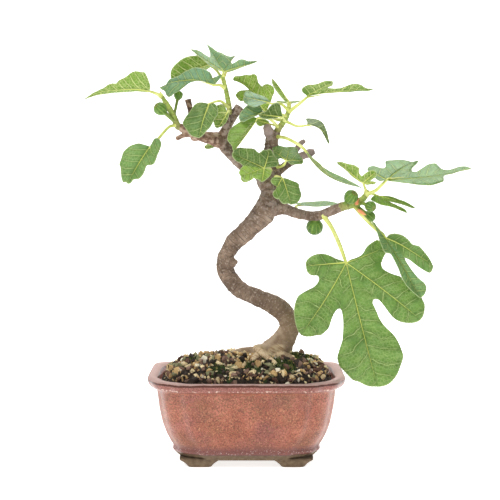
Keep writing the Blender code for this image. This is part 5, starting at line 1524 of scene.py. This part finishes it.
def bark_places(make, colour, streak, patches, low):
    """Where the bark differs: paler low down, palest on the surface roots, warmer on the left twig,
    flaked on the upper wood and grey on the stubs."""
    across, height = make.across(), make.height()
    front = make.depth().step(-10.0, -14.0) * across.step(2.0, 7.0) * across.step(42.0, 36.0)
    root = height.step(112.0, 102.0) * 0.5 + height.step(121.0, 118.0) * front * 0.5
    twig = across.step(-18.0, -34.0) * height.step(318.0, 328.0)
    scars = make.noise(5.0, 4.0, shift=31.0)
    old = height.step(225.0, 290.0) * scars.step(0.46, 0.62)
    right = across.step(46.0, 56.0) * height.step(285.0, 300.0)
    middle = across.step(29.0, 26.0) * across.step(0.0, 12.0) * height.step(333.0, 339.0)
    return make.layers(
        colour, (low * 0.55, make.blend(patches.step(0.4, 0.6), "#9C8468", "#C0AC90")),
        (root, make.blend(streak.step(0.45, 0.65), "#F4DEB4", "#B08A62")),
        (twig * 0.75, make.ramp(scars, ((0.36, "#4A342A"), (0.5, "#93705A"), (0.64, "#D2A988")))),
        (old * 0.55, "#AFA096"),
        ((right + middle) * 0.65, make.blend(streak, "#7E6C68", "#BCACA8")))


def bark_finish():
    """Smooth grey-brown bark with rings, pale pores and flakes."""
    make = Finish("fig_bark")
    _, along, chart = make.pair("course")
    patches = make.noise(16.0, 4.0)
    streak = make.noise(2.4, 4.0, stretch=(3.0, 0.8, 1.0), place=chart, unit_of=1.0)
    low = make.height().step(180.0, 125.0)
    flakes = make.noise(2.2, 4.0, shift=37.0).step(0.55, 0.68)
    rings = (along / 4.3 + make.noise(20.0, shift=3.0) * 1.6).fract()
    ring = abs(rings - 0.5).step(0.1, 0.02) * make.noise(12.0, shift=8.0).step(0.42, 0.56)
    pores = make.cells(2.6, stretch=(1.8, 1.0, 1.0), place=chart, unit_of=1.0).step(0.24, 0.12)
    browns = ((0.28, "#4A3B31"), (0.48, "#6E5A4A"), (0.62, "#8A7462"), (0.78, "#B09C88"))
    colour = make.layers(
        make.ramp(patches, browns), (streak.step(0.5, 0.7) * (0.65 - low * 0.45), "#40352C"),
        (flakes * 0.4, "#C2B4A4"), (ring * 0.5, "#382D25"), (pores * 0.3, "#B3A593"))
    colour = bark_places(make, colour, streak, patches, low)
    relief = streak * 0.35 + patches * 0.5 + pores * 0.12 - ring * 0.22 + make.noise(1.2, 3.0) * 0.25
    return make.done(make.close(colour, 0.85, relief))


def shoot_green():
    """Young stem: green, browner low down, with fine pale pores."""
    make = Finish("young_stem")
    _, along, chart = make.pair("course")
    colour = make.ramp(make.noise(6.0, 3.0), ((0.3, "#7E9440"), (0.55, "#9AAE4E"), (0.75, "#BCC66C")))
    colour = make.blend(along.step(16.0, 5.0) * 0.5, colour, "#8A7654")
    ring = abs((along / 6.8).fract() - 0.5).step(0.12, 0.02)
    colour = make.blend(ring * 0.5, colour, "#7A6840")
    pores = make.cells(1.6, place=chart, unit_of=1.0).step(0.24, 0.12)
    colour = make.blend(pores * 0.5, colour, "#D8D6A0")
    return make.done(make.close(colour, 0.6, make.noise(1.0, 3.0) * 0.2))


def petiole_yellow():
    make = Finish("petiole_yellow")
    colour = make.ramp(make.noise(9.0, 2.0), ((0.3, "#BCC864"), (0.5, "#D4DA7A"), (0.75, "#E8EAA0")))
    return make.done(make.close(colour, 0.5, make.noise(1.2, 2.0) * 0.1, Specular_IOR_Level=0.4))


def stipule_peach():
    make = Finish("stipule_peach")
    colour = make.ramp(make.noise(3.0, 2.0), ((0.3, "#E08A5A"), (0.6, "#F0A878"), (0.8, "#D8C070")))
    colour = make.blend(make.across().step(100.0, 80.0) * 0.85, colour, "#B4C060")
    return make.done(make.close(colour, 0.55, make.noise(1.0) * 0.1))


def fig_green():
    """Dark green skin with paler stripes from stalk to eye and pale flecks; a rusty eye."""
    make = Finish("fig_green")
    around, up, _ = make.pair("course")
    stripe = abs((around * 12.0 + make.noise(6.0) * 0.3).fract() - 0.5).step(0.34, 0.48)
    colour = make.ramp(make.noise(5.0, 3.0), ((0.3, "#3E6420"), (0.55, "#547C2A"), (0.8, "#72963A")))
    colour = make.blend(stripe * up.step(0.02, 0.3) * 0.6, colour, "#9AB454")
    fleck = make.cells(1.3, shift=3.0).step(0.26, 0.14)
    colour = make.blend(fleck * 0.55, colour, "#A8BC6C")
    colour = make.blend(up.step(0.965, 0.995) * 0.5, colour, "#8A7038")
    colour = make.blend(up.step(0.1, -0.1) * 0.6, colour, "#8A9A48")
    return make.done(make.close(colour, 0.45, make.noise(1.0, 2.0) * 0.12, Specular_IOR_Level=0.4))


def leaf_finish(name, tones, vein_code, strength, rough):
    """A leaf's skin: veins at whole phases of the side-vein map, swayed by noise, and along the lobes'
    own veins, a fine net between them, painted shade in random blotches, on shaded leaves, beside the
    side veins and along the main vein, a pale edge that is a painted highlight, and light that comes
    through."""
    make = Finish(name)
    phase, t, _ = make.pair("veins")
    reach, along, _ = make.pair("measure")
    spacing, width = make.reading("spacing"), make.reading("width")
    phase = phase + (make.noise(19.0, 1.0, shift=3.0) - 0.5) + (make.noise(5.0, shift=9.0) - 0.5) * 0.07
    side = abs((phase + 0.5).fract() - 0.5) * spacing
    side_vein = (side + t * 0.3).step(0.75, 0.2) * make.noise(13.0, shift=6.0).step(0.2, 0.5)
    main_vein = (reach / width + along * 0.7).step(1.1, 0.6)
    grain = make.noise(1.5, 3.0, shift=17.0)
    ladder = abs((phase * 4.0 + make.noise(5.0, shift=2.0) * 2.0).fract() - 0.5).step(0.22, 0.04)
    net = make.cells(3.3, feature="DISTANCE_TO_EDGE").step(0.17, 0.04)
    mesh = (net * 0.8 + ladder * 0.5) * make.noise(18.0, 3.0, shift=21.0).step(0.25, 0.55)
    # Painted shade: random darker blotches over the blade.
    shade_blotches = make.noise(30.0, 3.0, shift=11.0).step(0.62, 0.38)
    # Painted shade in the grooves beside the side veins.
    vein_groove_shade = (side / spacing).step(0.3, 0.08)
    # Painted highlight: a pale band along the margin.
    edge = (reach / t - reach).step(1.2, 0.4)
    # Painted shade also darkens whole leaves or lobes by their depth value, and the blade within five vein
    # widths of the main vein, along its groove.
    colour = make.layers(
        make.ramp(make.reading("tone") + (make.noise(11.0, 3.0) - 0.5) * 0.24, tones),
        (shade_blotches * 0.35, "#6A8A3C", "MULTIPLY"), (make.reading("depth"), "#5C7040", "MULTIPLY"),
        (grain.step(0.6, 0.4) * 0.2, "#4A6A26", "MULTIPLY"), (vein_groove_shade * 0.4, "#3E5E24", "MULTIPLY"),
        (mesh * 0.5 * strength, vein_code),
        ((side_vein * 1.35 * strength).math("MINIMUM", 1.0), vein_code),
        ((reach / width).step(5.0, 1.0) * 0.3, "#3E5E24", "MULTIPLY"), (edge * 0.6, "#DDE9B0"),
        (main_vein, "#EEF47E"))
    relief = grain * 0.2 - side_vein * 0.3 - ladder * 0.12 + make.noise(5.0, shift=4.0) * 0.5
    skin = make.close(colour, rough, relief, Specular_IOR_Level=0.36)
    glow = make.node("BsdfTranslucent", {}, {"Color": LEAF_GLOW})
    return make.done(make.node("MixShader", {}, {0: 0.28, 1: skin, 2: glow}))


def screen_plastic():
    """Moulded plastic mesh: fine square holes, drawn in relief, with painted shade in them."""
    make = Finish("screen_plastic")
    spot = make.scaled((1000 / 2.4, 1000 / 2.4, 0))
    across = [abs(make.node("SeparateXYZ", {}, {0: spot}, axis).fract() - 0.5) for axis in (0, 1)]
    bars = across[0].step(0.3, 0.4) + across[1].step(0.3, 0.4)
    # The holes are painted near black, as the shade in them, and the bars dark grey.
    colour = make.blend(bars, "#0E1210", "#27302A")
    return make.done(make.close(colour, 0.5, bars * 0.3))


def plain_floor():
    make = Finish("studio_paper")
    glow = {"Emission_Color": "#FFFFFF", "Emission_Strength": 0.75}
    return make.done(make.close("#F4F4F4", 0.9, **glow))


def build_floor():
    """Paper sweep: flat under the pot, then up behind it by a quarter circle."""
    half, back, radius, top = PAPER
    bend = np.linspace(0, math.pi / 2, 14)
    y = np.concatenate([[-half], back + radius * np.sin(bend), [back + radius]])
    z = SOLE_Z + np.concatenate([[0.0], radius * (1 - np.cos(bend)), [top]])
    x = np.array([-half, half])
    points = np.stack(np.broadcast_arrays(x[None], y[:, None], z[:, None]), axis=-1)
    mesh = bpy.data.meshes.new("paper_sweep")
    faces = np.arange(len(y) - 1)[:, None] * 2 + np.array([[0, 1, 3, 2]])
    mesh.from_pydata(metres(points.reshape(-1, 3)).tolist(), [], faces.tolist())
    mesh.materials.append(plain_floor())
    mesh.shade_smooth()
    floor = bpy.data.objects.new("paper_sweep", mesh)
    bpy.context.scene.collection.objects.link(floor)


def aim(thing, at, look_at):
    """Puts a lamp at a place, in mm, looking at another."""
    thing.location = metres(at)
    way = Vector(metres(look_at) - metres(at))
    thing.rotation_euler = way.to_track_quat("-Z", "Y").to_euler()


def add_lamp(name, at, width, power, code):
    lamp = bpy.data.lights.new(name, "AREA")
    lamp.shape = "DISK"
    lamp.size = width * MM
    lamp.energy = power
    lamp.color = shade(code)[:3]
    made = bpy.data.objects.new(name, lamp)
    bpy.context.scene.collection.objects.link(made)
    aim(made, at, LAMPS_LOOK_AT)


def build_camera():
    lens = bpy.data.cameras.new("camera")
    lens.lens = CAMERA_LENS
    lens.sensor_width = SENSOR_WIDTH
    made = bpy.data.objects.new("camera", lens)
    made.location = metres(CAMERA_AT)
    made.rotation_euler = (math.radians(90 - CAMERA_PITCH), 0, 0)
    bpy.context.scene.collection.objects.link(made)
    bpy.context.scene.camera = made


def light_scene():
    scene = bpy.context.scene
    scene.view_settings.view_transform = "Standard"
    world = bpy.data.worlds.new("white_room")
    world.use_nodes = True
    world.node_tree.nodes["Background"].inputs["Color"].default_value = (1, 1, 1, 1)
    world.node_tree.nodes["Background"].inputs["Strength"].default_value = 0.3
    scene.world = world
    for lamp in LAMPS:
        add_lamp(*lamp)


def build_plant():
    stem, bark_skin = shoot_green(), bark_finish()
    build_pot(glaze())
    build_soil_bed(soil_and_gap_shade())
    build_grains(grit())
    build_moss(moss_green())
    build_trunk(bark_skin)
    build_shoots(stem)
    skin = fig_green()
    for name in FIGS:
        build_fig(name, skin)
    upper = leaf_finish("leaf_upper", UPPER_TONES, "#D4E894", 0.55, 0.42)
    under = leaf_finish("leaf_under", UNDER_TONES, "#ECF4A0", 1.0, 0.6)
    for name in LEAVES:
        build_leaf(name, [upper, under])
    build_petioles(petiole_yellow())
    build_buds(stipule_peach())
    finish_screens(screen_plastic())


build_plant()
build_floor()
build_camera()
light_scene()
